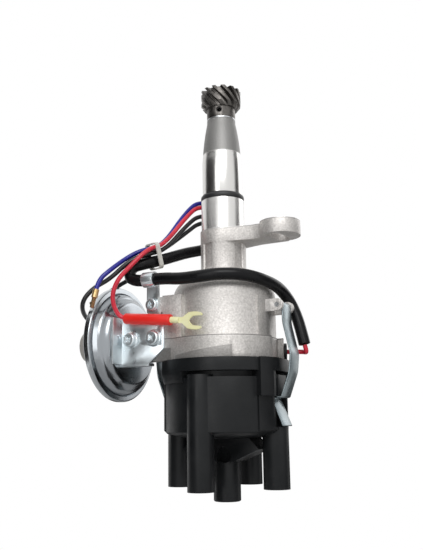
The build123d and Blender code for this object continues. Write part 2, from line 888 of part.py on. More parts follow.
with BuildPart() as base_plate:
    # Fixed plate with a swaged collar that the pickup plate turns on
    with BuildSketch(Plane.XY.offset(plate_ledge_z)):
        Circle(lower_cavity_r - seated)
        Circle(collar_in_r, mode=Mode.SUBTRACT)
        with Locations(*[on_circle(plate_screw_r, a) for a in plate_screw_angles + module_screw_angles]):
            Circle(screw_shank_r + seated, mode=Mode.SUBTRACT)
    extrude(amount=-plate_thickness)
    with BuildSketch(Plane.XZ):
        with BuildLine():
            Polyline(
                (collar_in_r, plate_bottom_z),
                (collar_out_r, plate_bottom_z),
                (collar_out_r, pickup_plate_bottom_z - gap),
                (collar_out_r + 0.9, pickup_plate_bottom_z - gap),
                (collar_out_r + 0.9, collar_end_z),
                (collar_in_r, collar_end_z),
                close=True,
            )
        make_face()
    revolve(axis=Axis.Z)
base_plate.part.label = "base_plate"
export_step(base_plate.part, "parts/base_plate.step")

for node, angles, seat_z in (
    ("plate_screws", plate_screw_angles, plate_bottom_z),
    ("module_screws", module_screw_angles, plate_bottom_z - module_ear),
):
    with BuildPart() as pan_screws:
        with BuildSketch(Plane.XY.offset(seat_z)):
            with Locations(*[on_circle(plate_screw_r, a) for a in angles]):
                Circle(screw_head_r)
        extrude(amount=-screw_head_height)
        fillet(pan_screws.faces().group_by(Axis.Z)[0].edges(), screw_head_height * 0.4)
        with BuildSketch(Plane.XY.offset(seat_z)):
            with Locations(*[on_circle(plate_screw_r, a) for a in angles]):
                Circle(screw_shank_r)
        extrude(amount=plate_ledge_z + screw_depth - gap - seat_z)
    pan_screws.part.label = node
    export_step(pan_screws.part, f"parts/{node}.step")

rod_pin_angle = -90 + vacuum_range / 2
rod_y = -rod_pin_radius * (1 + cos(radians(vacuum_range / 2))) / 2
with BuildPart() as pickup_plate:
    with BuildSketch(Plane.XY.offset(pickup_plate_z)):
        Circle(pickup_plate_r)
        Circle(collar_out_r + running, mode=Mode.SUBTRACT)
        with Locations(on_circle(rod_pin_radius, rod_pin_angle)):
            Circle(rod_pin_r - 0.4 + seated, mode=Mode.SUBTRACT)
    extrude(amount=-pickup_plate_thickness)
pickup_plate.part.label = "pickup_plate"
export_step(pickup_plate.part, "parts/pickup_plate.step")

with BuildPart() as rod_pin:
    # Riveted into the pickup plate, headed over the rod's eye
    with BuildSketch(Plane.XY.offset(pickup_plate_bottom_z)):
        with Locations(on_circle(rod_pin_radius, rod_pin_angle)):
            Circle(rod_pin_r)
    extrude(amount=vac_z - rod_thickness / 2 - gap - pickup_plate_bottom_z)
    with BuildSketch(Plane.XY.offset(vac_z - rod_thickness / 2 - gap)):
        with Locations(on_circle(rod_pin_radius, rod_pin_angle)):
            Circle(rod_pin_r + 1.0)
    extrude(amount=-0.8)
    with BuildSketch(Plane.XY.offset(pickup_plate_z)):
        with Locations(on_circle(rod_pin_radius, rod_pin_angle)):
            Circle(rod_pin_r - 0.4)
    extrude(amount=-pickup_plate_thickness)
rod_pin.part.label = "rod_pin"
export_step(rod_pin.part, "parts/rod_pin.step")

coil_plane = Plane(
    origin=(*on_circle(coil_in_r, pickup_angle), core_z),
    z_dir=(*on_circle(1, pickup_angle), 0),
    x_dir=(0, 0, 1),
)
with BuildPart() as pickup_coil:
    with BuildSketch(coil_plane):
        RectangleRounded(coil_height, coil_width, 1.6)
        Rectangle(core_width + 2 * seated, core_width + 2 * seated, mode=Mode.SUBTRACT)
    extrude(amount=coil_out_r - coil_in_r)
pickup_coil.part.label = "pickup_coil"
export_step(pickup_coil.part, "parts/pickup_coil.step")

with BuildPart() as pickup_core:
    with BuildSketch(coil_plane.offset(reluctor_r + reluctor_air - coil_in_r)):
        Rectangle(core_width, core_width)
    extrude(amount=core_out_r - reluctor_r - reluctor_air)
pickup_core.part.label = "pickup_core"
export_step(pickup_core.part, "parts/pickup_core.step")

with BuildPart() as ignition_module:
    # Potted arc block with an ear at each end
    for half, height in ((module_half_angle, plate_bottom_z - module_end_z), (module_ear_half, module_ear)):
        with BuildSketch(Plane.XY.offset(plate_bottom_z)):
            with BuildLine():
                outer = CenterArc((0, 0), module_out_r, 90 - half, 2 * half)
                inner = CenterArc((0, 0), module_in_r, 90 - half, 2 * half)
                Line(outer @ 0, inner @ 0)
                Line(outer @ 1, inner @ 1)
            make_face()
            if half > module_half_angle:
                with Locations(*[on_circle(plate_screw_r, a) for a in module_screw_angles]):
                    Circle(screw_shank_r + seated, mode=Mode.SUBTRACT)
        extrude(amount=-height)
ignition_module.part.label = "ignition_module"
export_step(ignition_module.part, "parts/ignition_module.step")

with BuildPart() as cap:
    # Body with its rim, the recess under the rim and a softened lower edge
    with BuildSketch(Plane.XZ):
        with BuildLine():
            Polyline(
                (0, bowl_bottom_z),
                (cap_rim_r, bowl_bottom_z),
                (cap_rim_r, cap_rim_z),
                (recess_r, cap_rim_z),
                (recess_r, panel_top_z),
                (cap_r, panel_top_z),
                (cap_r, cap_edge_z + cap_edge_round),
                (cap_r - cap_edge_round, cap_edge_z),
                (cap_root_r, cap_floor_z),
                (0, cap_floor_z),
                close=True,
            )
        make_face()
    revolve(axis=Axis.Z)

    # Panels between the towers stand a little inside the body
    with BuildSketch(Plane.XY.offset(panel_top_z)):
        for start in panel_starts:
            with BuildLine():
                sector = CenterArc((0, 0), cap_r + 1, start, panel_span)
                Line((0, 0), sector @ 0)
                Line((0, 0), sector @ 1)
            make_face()
        Circle(panel_r, mode=Mode.SUBTRACT)
    extrude(amount=cap_edge_z - panel_top_z - 1, mode=Mode.SUBTRACT)

    # Cone under the rim beside each lug, over a part of the turn
    for start in (rim_cone_start, rim_cone_start + 180):
        with BuildSketch(Plane.XZ.rotated((0, 0, start))):
            Polygon(
                (recess_r - 1, cap_rim_z + 0.5),
                (cap_rim_r, cap_rim_z + 0.5),
                (cap_rim_r, cap_rim_z),
                (cap_r, rim_cone_z),
                (recess_r - 1, rim_cone_z),
                align=None,
            )
        revolve(axis=Axis.Z, revolution_arc=rim_cone_span)

    # Lug block beside each clip, reaching up over the rim
    with BuildSketch(Plane.XY.offset(bowl_bottom_z)):
        for turn in (0, 180):
            with BuildLine():
                block = CenterArc((0, 0), lug_r, turn + lug_start_angle, lug_span)
                Line((0, 0), block @ 0)
                Line((0, 0), block @ 1)
            make_face()
    extrude(amount=lug_bottom_z - bowl_bottom_z)

    # Four plug towers, the coil tower, its square root and the webs between them
    with BuildSketch(Plane.XY.offset(tower_top_z)):
        with PolarLocations(tower_circle_r, 4):
            Circle(tower_r)
    extrude(amount=tower_end_z - tower_top_z)
    with BuildSketch(Plane.XY.offset(cap_floor_z)):
        Circle(coil_tower_r)
    extrude(amount=coil_tower_end_z - cap_floor_z)
    fillet(cap.faces().filter_by(Axis.Z).group_by(Axis.Z)[0].edges(), 1.0)
    with BuildSketch(Plane.XZ.offset(root_end_x)):
        with BuildLine():
            Polyline(
                (-root_end_x, root_bottom_z),
                (root_end_x, root_bottom_z),
                (web_end_x, web_tip_z),
                (web_end_x - 7, cap_floor_z + 1),
                (7 - web_end_x, cap_floor_z + 1),
                (-web_end_x, web_tip_z),
                close=True,
            )
        make_face()
    extrude(amount=-2 * root_end_x)
    with BuildSketch(Plane.XZ.offset(root_end_x)):
        with Locations((arch_x, root_bottom_z)):
            Rectangle(
                2 * arch_half,
                arch_top_z - root_bottom_z - arch_half,
                align=(Align.CENTER, Align.MIN),
            )
        with Locations((arch_x, arch_top_z - arch_half)):
            Circle(arch_half)
    extrude(amount=-arch_depth, mode=Mode.SUBTRACT)

    # Clip channels, and the pocket under each lug where the hook sits
    with BuildSketch(Plane.XY.offset(cap_rim_z)):
        with Locations((cap_r + lug_r / 2, 0), (-cap_r - lug_r / 2, 0)):
            Rectangle(lug_r, 2 * lug_channel_half)
    extrude(amount=lug_bottom_z - cap_rim_z, mode=Mode.SUBTRACT)
    with BuildSketch(Plane.XY.offset(lug_bottom_z)):
        with Locations((pocket_x + lug_r / 2, 0), (-pocket_x - lug_r / 2, 0)):
            Rectangle(lug_r, 2 * pocket_half)
    extrude(amount=pocket_bottom_z - lug_bottom_z, mode=Mode.SUBTRACT)

    # Inside: the hollow, the brush tube, the seats of the terminals and the lead sockets
    with BuildSketch(Plane.XZ):
        with BuildLine():
            Polyline(
                (0, bowl_bottom_z + 1),
                (cap_bore_r, bowl_bottom_z + 1),
                (cap_bore_r, cap_floor_inside_z),
                (brush_tube_r, cap_floor_inside_z),
                (brush_tube_r, brush_tube_z),
                (0, brush_tube_z),
                close=True,
            )
        make_face()
    revolve(axis=Axis.Z, mode=Mode.SUBTRACT)
    with BuildSketch(Plane.XY.offset(bowl_bottom_z)):
        Circle(gasket_r + gasket_width / 2)
        Circle(gasket_r - gasket_width / 2, mode=Mode.SUBTRACT)
    extrude(amount=-gasket_depth, mode=Mode.SUBTRACT)
    with BuildSketch(Plane.XY.offset(brush_tube_z + 1)):
        Circle(brush_r + running)
    extrude(amount=coil_tower_end_z - brush_tube_z, mode=Mode.SUBTRACT)
    with BuildSketch(Plane.XY.offset(coil_tower_end_z)):
        Circle(socket_r)
    extrude(amount=coil_socket_depth, mode=Mode.SUBTRACT)
    with BuildSketch(Plane.XY.offset(coil_tower_end_z + 1)):
        Circle(terminal_r)
    extrude(amount=coil_terminal_z - coil_tower_end_z - 1, mode=Mode.SUBTRACT)
    with BuildSketch(Plane.XY.offset(tower_end_z)):
        with PolarLocations(tower_circle_r, 4):
            Circle(socket_r)
    extrude(amount=socket_depth, mode=Mode.SUBTRACT)
    with BuildSketch(Plane.XY.offset(tower_end_z + 1)):
        with PolarLocations(tower_circle_r, 4):
            Circle(terminal_r)
    extrude(amount=plug_terminal_z - tower_end_z - 1, mode=Mode.SUBTRACT)
    with BuildSketch(Plane.XY.offset(cap_floor_inside_z + 1)):
        with PolarLocations(post_circle_r, 4):
            Circle(post_r + seated)
    extrude(amount=bridge_top_z - cap_floor_inside_z - 1, mode=Mode.SUBTRACT)
    with BuildSketch(Plane.XY.offset(bridge_top_z)):
        with PolarLocations(post_circle_r - post_r, 4):
            Rectangle(
                tower_circle_r - post_circle_r + post_r,
                2 * post_r,
                align=(Align.MIN, Align.CENTER),
            )
    extrude(amount=-bridge_height, mode=Mode.SUBTRACT)
cap.part.label = "cap"
export_step(cap.part, "parts/cap.step")

with BuildPart() as plug_terminals:
    # Four L-shaped inserts: a post beside the rotor's path, a bridge and a pin in the socket's root
    with BuildSketch(Plane.XY.offset(post_top_z)):
        with PolarLocations(post_circle_r, 4):
            Circle(post_r)
    extrude(amount=bridge_top_z - bridge_height / 2 - post_top_z)
    with BuildSketch(Plane.XY.offset(bridge_top_z - seated)):
        with PolarLocations(post_circle_r - post_r + seated, 4):
            Rectangle(
                tower_circle_r - post_circle_r + post_r - 2 * seated,
                2 * (post_r - seated),
                align=(Align.MIN, Align.CENTER),
            )
    extrude(amount=-bridge_height + 2 * seated)
    with BuildSketch(Plane.XY.offset(plug_terminal_z - seated)):
        with PolarLocations(tower_circle_r, 4):
            Circle(terminal_r - seated)
    extrude(amount=-plug_pin_height + 2 * seated)
plug_terminals.part.label = "plug_terminals"
export_step(plug_terminals.part, "parts/plug_terminals.step")

with BuildPart() as coil_terminal:
    with BuildSketch(Plane.XY.offset(coil_terminal_z)):
        Circle(terminal_r - seated)
    extrude(amount=-coil_plate_thickness + seated)
    with BuildSketch(Plane.XY.offset(coil_terminal_z)):
        Circle(brush_r)
    extrude(amount=coil_pin_height)
coil_terminal.part.label = "coil_terminal"
export_step(coil_terminal.part, "parts/coil_terminal.step")

with BuildPart() as carbon_brush:
    with BuildSketch(Plane.XY.offset(contact_bottom_z - gap)):
        Circle(brush_r)
    extrude(amount=brush_end_z - contact_bottom_z + gap)
    fillet(carbon_brush.faces().sort_by(Axis.Z)[-1].edges(), 0.8)
carbon_brush.part.label = "carbon_brush"
export_step(carbon_brush.part, "parts/carbon_brush.step")

with BuildPart() as brush_spring:
    # Coil spring held straight, drawn as its envelope
    with BuildSketch(Plane.XY.offset(brush_end_z - seated)):
        Circle(brush_r - 0.1)
        Circle(brush_r - 0.7, mode=Mode.SUBTRACT)
    extrude(amount=coil_terminal_z + coil_pin_height - brush_end_z + 2 * seated)
brush_spring.part.label = "brush_spring"
export_step(brush_spring.part, "parts/brush_spring.step")

with BuildPart() as cap_gasket:
    with BuildSketch(Plane.XY.offset(bowl_bottom_z - seated)):
        Circle(gasket_r + gasket_width / 2 - seated)
        Circle(gasket_r - gasket_width / 2 + seated, mode=Mode.SUBTRACT)
    extrude(amount=-gasket_depth + 2 * seated)
cap_gasket.part.label = "cap_gasket"
export_step(cap_gasket.part, "parts/cap_gasket.step")

for node, side in (("clip_a", 1), ("clip_b", -1)):
    with BuildPart() as clip:
        # Bent strip from the rolled eye, over the rim, to the hook and its finger tab
        with BuildSketch(Plane.XZ.offset(-clip_width / 2)):
            with BuildLine():
                FilletPolyline(
                    (side * (clip_pin_x + clip_eye_r - clip_thickness / 2), clip_pin_z),
                    (side * clip_waist_x, clip_waist_z),
                    (side * clip_bow_x, clip_bow_z),
                    (side * clip_calf_x, clip_calf_z),
                    (side * hook_corner_x, hook_z),
                    (side * hook_x, hook_z),
                    (side * tab_x, tab_z),
                    radius=[clip_bend_r, clip_bow_r, clip_bend_r, hook_bend_r, tab_bend_r],
                )
                offset(amount=clip_thickness / 2)
            make_face()
            with Locations((side * clip_pin_x, clip_pin_z)):
                Circle(clip_eye_r)
                Circle(clip_pin_r + running, mode=Mode.SUBTRACT)
        extrude(amount=clip_width)
    clip.part.label = node
    export_step(clip.part, f"parts/{node}.step")

with BuildPart() as clip_pins:
    with BuildSketch(Plane.XZ.offset(-clip_pin_half)):
        with Locations((clip_pin_x, clip_pin_z), (-clip_pin_x, clip_pin_z)):
            Circle(clip_pin_r)
    extrude(amount=2 * clip_pin_half)
clip_pins.part.label = "clip_pins"
export_step(clip_pins.part, "parts/clip_pins.step")

vac_plane = Plane(origin=(0, vac_y, vac_z), x_dir=(1, 0, 0), z_dir=(0, -1, 0))
vac_yz_plane = Plane(origin=(0, vac_y, vac_z), x_dir=(0, 1, 0), z_dir=(1, 0, 0))
vac_axis = Axis((0, vac_y, vac_z), (1, 0, 0))
with BuildPart() as vacuum_pan:
    # Pressed pan towards the bowl, stepped down to its plateau
    with BuildSketch(vac_plane):
        with BuildLine():
            Polyline(
                (plateau_x - shell / 2, pan_hole_r),
                (plateau_x - shell / 2, plateau_r),
                (plateau_x - 3.2, plateau_r + 1.6),
                (plateau_x - 4.6, rim_r - 5.6),
                (rim_x + shell / 2 + seated, rim_r - 4.0),
                (rim_x + shell / 2 + seated, rim_r - 2 * shell),
            )
            offset(amount=shell / 2)
        make_face()
    revolve(axis=vac_axis)
vacuum_pan.part.label = "vacuum_pan"
export_step(vacuum_pan.part, "parts/vacuum_pan.step")

with BuildPart() as vacuum_cover:
    # Domed cover crimped round the pan's flange, with a stepped boss for the hose
    with BuildSketch(vac_plane):
        with BuildLine():
            Polyline(
                (rim_x + rim_half, rim_r - 3.2),
                (rim_x + rim_half, rim_r - 0.6),
                (rim_x + rim_half - 0.6, rim_r),
                (rim_x - rim_half + 0.6, rim_r),
                (rim_x - rim_half, rim_r - 0.8),
                (rim_x - rim_half - 1.0, rim_r - 3.6),
                (rim_x - rim_half - 4.0, rim_r - 7.0),
                (rim_x - rim_half - 5.0, rim_r - 9.6),
                (cover_shoulder_x + 2.4, cover_shoulder_r + 2.4),
                (cover_shoulder_x, cover_shoulder_r - 1.0),
                (cover_shoulder_x, vac_boss_r),
                (vac_boss_step_x, vac_boss_r),
                (vac_boss_step_x, vac_boss_step_r),
                (vac_boss_x, vac_boss_step_r),
                (vac_boss_x, 0),
                (vac_boss_step_x, 0),
                (vac_boss_step_x, vac_boss_step_r - 1.6),
                (cover_shoulder_x + shell, vac_boss_step_r - 1.6),
                (cover_shoulder_x + shell, cover_shoulder_r - 1.4),
                (cover_shoulder_x + 3.4, cover_shoulder_r + 1.6),
                (rim_x - rim_half - 3.8, rim_r - 10.0),
                (rim_x - rim_half - 3.0, rim_r - 7.6),
                (rim_x - 1.0, rim_r - 4.2),
                (rim_x - 0.7, rim_r - 1.2),
                (rim_x + shell + 2 * seated, rim_r - 1.2),
                (rim_x + shell + 2 * seated, rim_r - 3.2),
                close=True,
            )
        make_face()
    revolve(axis=vac_axis)
    with BuildSketch(Plane.XZ.offset(-vac_y)):
        with Locations((nipple_x, vac_z)):
            Circle(nipple_r - 0.6)
    extrude(amount=-vac_boss_r - 2, mode=Mode.SUBTRACT)
vacuum_cover.part.label = "vacuum_cover"
export_step(vacuum_cover.part, "parts/vacuum_cover.step")

nipple_end_y = vac_y + vac_boss_r + nipple_length
with BuildPart() as vacuum_nipple:
    # Hose stub with a bevelled end
    with BuildSketch(Plane(origin=(nipple_x, 0, vac_z), x_dir=(1, 0, 0), z_dir=(0, 0, 1))):
        with BuildLine():
            Polyline(
                (nipple_bore_r, vac_y + vac_boss_step_r - 1.5),
                (nipple_r - 0.6 - seated, vac_y + vac_boss_step_r - 1.5),
                (nipple_r - 0.6 - seated, vac_y + vac_boss_r + seated),
                (nipple_r, vac_y + vac_boss_r + seated),
                (nipple_r, nipple_end_y - nipple_bevel),
                (nipple_r - nipple_bevel / 2, nipple_end_y),
                (nipple_bore_r, nipple_end_y),
                close=True,
            )
        make_face()
    revolve(axis=Axis((nipple_x, 0, vac_z), (0, 1, 0)))
vacuum_nipple.part.label = "vacuum_nipple"
export_step(vacuum_nipple.part, "parts/vacuum_nipple.step")

with BuildPart() as diaphragm:
    # Moulded rubber disc with one convolution, clamped in the crimp
    with BuildSketch(vac_plane):
        with BuildLine():
            Polyline(
                (diaphragm_x - 2 * gap, rod_hole_r),
                (diaphragm_x - 2 * gap, diaphragm_plate_r + 1.0),
                (diaphragm_x - 3.0, diaphragm_plate_r + 4.0),
                (rim_x - seated, rim_r - 6.4),
                (rim_x - seated, rim_r - shell - 0.4),
                (rim_x - 0.6, rim_r - shell - 0.4),
                (rim_x - 0.6, rim_r - 6.0),
                (diaphragm_x - 3.7, diaphragm_plate_r + 4.4),
                (diaphragm_x - 2 * gap - 0.7, diaphragm_plate_r + 1.4),
                (diaphragm_x - 2 * gap - 0.7, rod_hole_r),
                close=True,
            )
        make_face()
    revolve(axis=vac_axis)
diaphragm.part.label = "diaphragm"
export_step(diaphragm.part, "parts/diaphragm.step")

spring_far_x = vac_boss_step_x + 1.6
with BuildPart() as vacuum_spring:
    # Return spring between the boss and the diaphragm's plate, drawn as its envelope
    with BuildSketch(vac_yz_plane.offset(spring_far_x)):
        Circle(vac_spring_r)
        Circle(vac_spring_r - 2 * vac_spring_wire_r, mode=Mode.SUBTRACT)
    extrude(amount=diaphragm_x - 2 * gap - 0.9 - spring_far_x)
vacuum_spring.part.label = "vacuum_spring"
export_step(vacuum_spring.part, "parts/vacuum_spring.step")

with BuildPart() as diaphragm_plate:
    with BuildSketch(vac_yz_plane.offset(diaphragm_x)):
        Circle(diaphragm_plate_r)
        Rectangle(rod_width + 2 * seated, rod_thickness + 2 * seated, mode=Mode.SUBTRACT)
    extrude(amount=diaphragm_thickness)
diaphragm_plate.part.label = "diaphragm_plate"
export_step(diaphragm_plate.part, "parts/diaphragm_plate.step")

rod_pin_x, rod_pin_y = on_circle(rod_pin_radius, rod_pin_angle)
with BuildPart() as vacuum_rod:
    # Flat pull rod with an eye over the pickup plate's pin
    with BuildSketch(Plane.XY.offset(vac_z - rod_thickness / 2)):
        with BuildLine():
            Polyline(
                (diaphragm_x - 0.3, rod_y - rod_width / 2),
                (rod_pin_x, rod_y - rod_width / 2),
                (rod_pin_x, rod_y + rod_width / 2),
                (diaphragm_x - 0.3, rod_y + rod_width / 2),
                close=True,
            )
        make_face()
        with Locations((rod_pin_x, rod_pin_y)):
            Circle(rod_pin_r + rod_pin_clearance + 1.4)
            Circle(rod_pin_r + rod_pin_clearance, mode=Mode.SUBTRACT)
    extrude(amount=rod_thickness)
vacuum_rod.part.label = "vacuum_rod"
export_step(vacuum_rod.part, "parts/vacuum_rod.step")

with BuildPart() as vacuum_bracket:
    # Bent plate: the face with the screws, the end flange on the pan and a bottom return
    with BuildSketch(Plane.XZ.offset(-flat_y)):
        with BuildLine():
            Polyline(
                (bracket_left_x, bracket_top_z),
                (bracket_right_x, bracket_top_z),
                (bracket_right_x, bracket_bottom_z + bracket_corner_height),
                (bracket_right_x - bracket_corner, bracket_bottom_z),
                (bracket_left_x, bracket_bottom_z),
                close=True,
            )
        make_face()
        with Locations(*[(x, bracket_screw_z) for x in bracket_screw_x]):
            Circle(bracket_screw_r + seated, mode=Mode.SUBTRACT)
    extrude(amount=bracket_thickness)
    with Locations((bracket_left_x, flat_y, (bracket_top_z + bracket_bottom_z) / 2)):
        Box(
            bracket_thickness,
            bracket_flange,
            bracket_top_z - bracket_bottom_z,
            align=(Align.MIN, Align.MAX, Align.CENTER),
        )
    with Locations((bracket_left_x, flat_y + 4.4, bracket_bottom_z)):
        Box(
            bracket_return_length,
            bracket_return,
            bracket_thickness,
            align=(Align.MIN, Align.MAX, Align.MAX),
        )
vacuum_bracket.part.label = "vacuum_bracket"
export_step(vacuum_bracket.part, "parts/vacuum_bracket.step")

with BuildPart() as bracket_screws:
    bracket_face = Plane.XZ.offset(-flat_y + bracket_thickness)
    with BuildSketch(bracket_face):
        with Locations(*[(x, bracket_screw_z) for x in bracket_screw_x]):
            Circle(bracket_washer_r)
    extrude(amount=bracket_washer)
    with BuildSketch(bracket_face.offset(bracket_washer)):
        with Locations(*[(x, bracket_screw_z) for x in bracket_screw_x]):
            Circle(bracket_head_r)
    extrude(amount=bracket_head_height)
    fillet(bracket_screws.faces().sort_by(Axis.Y)[0:2].edges(), 0.9)
    with BuildSketch(bracket_face.offset(bracket_washer + bracket_head_height)):
        with Locations(*[(x, bracket_screw_z) for x in bracket_screw_x]):
            Rectangle(bracket_head_r * 1.1, 0.9, rotation=35)
            Rectangle(0.9, bracket_head_r * 1.1, rotation=35)
    extrude(amount=-1.2, mode=Mode.SUBTRACT)
    with BuildSketch(bracket_face):
        with Locations(*[(x, bracket_screw_z) for x in bracket_screw_x]):
            Circle(bracket_screw_r)
    extrude(amount=-bracket_screw_length)
bracket_screws.part.label = "bracket_screws"
export_step(bracket_screws.part, "parts/bracket_screws.step")

clamp_y = flat_y - 2 * clamp_strap - sleeve_radius + clamp_ring_shift
clamp_ring_r = sleeve_radius + seated
with BuildPart() as cable_clamp:
    # Strap looped round the sleeve, its two ends doubled under the screw
    with BuildSketch(Plane.YZ.offset(clamp_x - clamp_width / 2)):
        with Locations((clamp_y, clamp_z)):
            Circle(clamp_ring_r + clamp_strap)
        with Locations((flat_y, clamp_z)):
            Rectangle(2 * clamp_strap, clamp_z - clamp_tail_z, align=(Align.MAX, Align.MAX))
        with Locations((clamp_y, clamp_z)):
            Circle(clamp_ring_r, mode=Mode.SUBTRACT)
    extrude(amount=clamp_width)
    with BuildSketch(Plane.XZ.offset(-flat_y)):
        with Locations((clamp_x, clamp_screw_z)):
            Circle(clamp_screw_r + seated)
    extrude(amount=2 * clamp_strap, mode=Mode.SUBTRACT)
cable_clamp.part.label = "cable_clamp"
export_step(cable_clamp.part, "parts/cable_clamp.step")

with BuildPart() as clamp_screw:
    clamp_face = Plane.XZ.offset(-flat_y + 2 * clamp_strap)
    with BuildSketch(clamp_face):
        with Locations((clamp_x, clamp_screw_z)):
            Circle(clamp_head_r)
    extrude(amount=clamp_head_height)
    fillet(clamp_screw.faces().sort_by(Axis.Y)[0].edges(), 0.9)
    with BuildSketch(clamp_face.offset(clamp_head_height)):
        with Locations((clamp_x, clamp_screw_z)):
            Rectangle(clamp_head_r * 1.1, 0.9, rotation=20)
            Rectangle(0.9, clamp_head_r * 1.1, rotation=20)
    extrude(amount=-1.2, mode=Mode.SUBTRACT)
    with BuildSketch(clamp_face):
        with Locations((clamp_x, clamp_screw_z)):
            Circle(clamp_screw_r)
    extrude(amount=-clamp_screw_length)
clamp_screw.part.label = "clamp_screw"
export_step(clamp_screw.part, "parts/clamp_screw.step")

with BuildPart() as lead_grommet:
    with BuildSketch(grommet_plane):
        Circle(grommet_flange_r)
    extrude(amount=grommet_flange)
    with BuildSketch(grommet_plane):
        Circle(grommet_r)
    extrude(amount=-grommet_length)
    with BuildSketch(grommet_plane.offset(grommet_flange)):
        Circle(lead_radius + seated)
    extrude(amount=-grommet_length - grommet_flange, mode=Mode.SUBTRACT)
lead_grommet.part.label = "lead_grommet"
export_step(lead_grommet.part, "parts/lead_grommet.step")

# The sleeve leaves the bowl's lead by the skirt, wraps the dome, passes the P-clip, folds back
# through the tie and ends behind the neck, where its four leads turn round and come back
sleeve_points = [
    (46.5, 14.0, -72.1),
    (44.6, 14.2, -64.0),
    (42.2, 14.5, -55.6),
    (38.4, 14.0, -46.0),
    (36.0, 6.0, -39.4),
    (34.4, -5.0, -36.6),
    (29.6, -19.5, -34.6),
    (22.4, -27.6, -33.6),
    (12.5, -33.4, -33.6),
    (1.0, -35.7, -34.4),
    (-11.5, -36.1, -34.6),
    (-22.5, -36.1, -33.0),
    (-46.0, -36.1, -33.0),
    (-46.5, -35.2, -23.6),
    (-38.4, -29.2, -20.8),
    (-33.3, -16.1, -16.3),
    (-27.9, 0.0, -9.8),
    (-22.5, 12.5, -6.0),
    (-12.0, 19.5, -3.0),
]
tail_points = [
    (46.6, 14.0, -72.6),
    (47.8, 14.6, -77.4),
    (43.4, 20.2, -76.0),
    (33.4, 15.6, -76.0),
]
red_points = [
    (-10.8, 18.5, -4.4),
    (-2.8, 24.0, -2.2),
    (2.8, 24.8, 7.5),
    (-2.7, 22.0, 19.5),
    (-20.7, 7.6, 23.3),
    (-25.8, 0.4, 15.8),
    (-32.5, -18.8, -8.0),
    (-34.2, -33.8, -12.7),
    (-42.1, -41.8, -24.7),
    (-48.4, -45.1, -32.3),
    (-52.9, -44.7, -40.9),
    (-53.5, -41.6, -49.0),
    (-51.2, -37.2, -55.18),
    (-44.0, -37.2, -55.9),
]
blue_points = [
    (-12.5, 20.9, -4.4),
    (-4.5, 26.4, -2.2),
    (1.2, 27.2, 7.5),
    (-4.3, 24.4, 21.5),
    (-22.6, 11.2, 28.0),
    (-28.4, 2.4, 18.7),
    (-35.1, -16.9, -8.2),
    (-39.5, -31.6, -12.5),
    (-47.8, -35.7, -16.9),
    (-52.7, -47.4, -26.7),
    (-57.4, -52.2, -33.0),
    (-58.3, -53.2, -39.0),
]
black_a_points = [
    (-11.4, 18.1, -1.6),
    (-6.6, 21.4, -0.3),
    (-1.8, 23.4, 7.0),
    (-7.2, 20.2, 14.5),
    (-20.8, 7.6, 17.2),
    (-26.2, -1.5, 7.9),
    (-32.2, -17.9, -11.2),
    (-36.4, -30.8, -15.0),
    (-44.6, -39.2, -20.5),
    (-55.0, -44.1, -31.4),
    (-62.0, -49.6, -36.5),
    (-67.1, -53.4, -43.3),
    (-71.1, -50.5, -49.3),
    (-80.0, -33.5, -53.2),
    (-92.0, -5.0, -56.3),
]
black_b_points = [
    (-13.1, 20.6, -1.6),
    (-8.3, 23.9, -0.3),
    (-3.4, 25.8, 6.6),
    (-9.8, 22.1, 13.0),
    (-21.8, 9.3, 12.6),
    (-27.2, 0.2, 3.7),
    (-35.6, -16.9, -11.2),
    (-38.5, -28.1, -14.5),
    (-47.5, -23.5, -19.5),
    (-57.0, -21.0, -28.0),
    (-66.0, -19.0, -30.0),
    (-76.0, -19.0, -35.0),
]


def bend_radii(points):
    # Each bend takes 45% of the shorter run beside it
    radii = []
    for before, corner, after in zip(points, points[1:], points[2:]):
        run_in = Vector(*corner) - Vector(*before)
        run_out = Vector(*after) - Vector(*corner)
        half_turn = radians(run_in.get_angle(run_out) / 2)
        radii.append(bend_share * min(run_in.length, run_out.length) / tan(half_turn))
    return radii


for node, points, section_r in (
    ("lead_sleeve", sleeve_points, sleeve_radius),
    ("lead_tail", tail_points, lead_radius),
    ("red_lead", red_points, lead_radius),
    ("blue_lead", blue_points, lead_radius),
    ("black_lead_a", black_a_points, lead_radius),
    ("black_lead_b", black_b_points, lead_radius),
):
    with BuildPart() as lead:
        with BuildLine():
            FilletPolyline(*points, radius=bend_radii(points))
        with BuildSketch(Plane(origin=points[0], z_dir=Vector(*points[1]) - Vector(*points[0]))):
            Circle(section_r)
        sweep()
    lead.part.label = node
    export_step(lead.part, f"parts/{node}.step")

boot_direction = Vector(1, 0, -boot_fall).normalized()
boot_plane = Plane(origin=(boot_start_x, boot_y, boot_z), x_dir=(0, 1, 0), z_dir=boot_direction)
with BuildPart() as red_boot:
    # Insulating sleeve over the crimp of the fork terminal
    with BuildSketch(boot_plane):
        Circle(boot_r)
        Circle(lead_radius + seated, mode=Mode.SUBTRACT)
    extrude(amount=boot_length)
red_boot.part.label = "red_boot"
export_step(red_boot.part, "parts/red_boot.step")

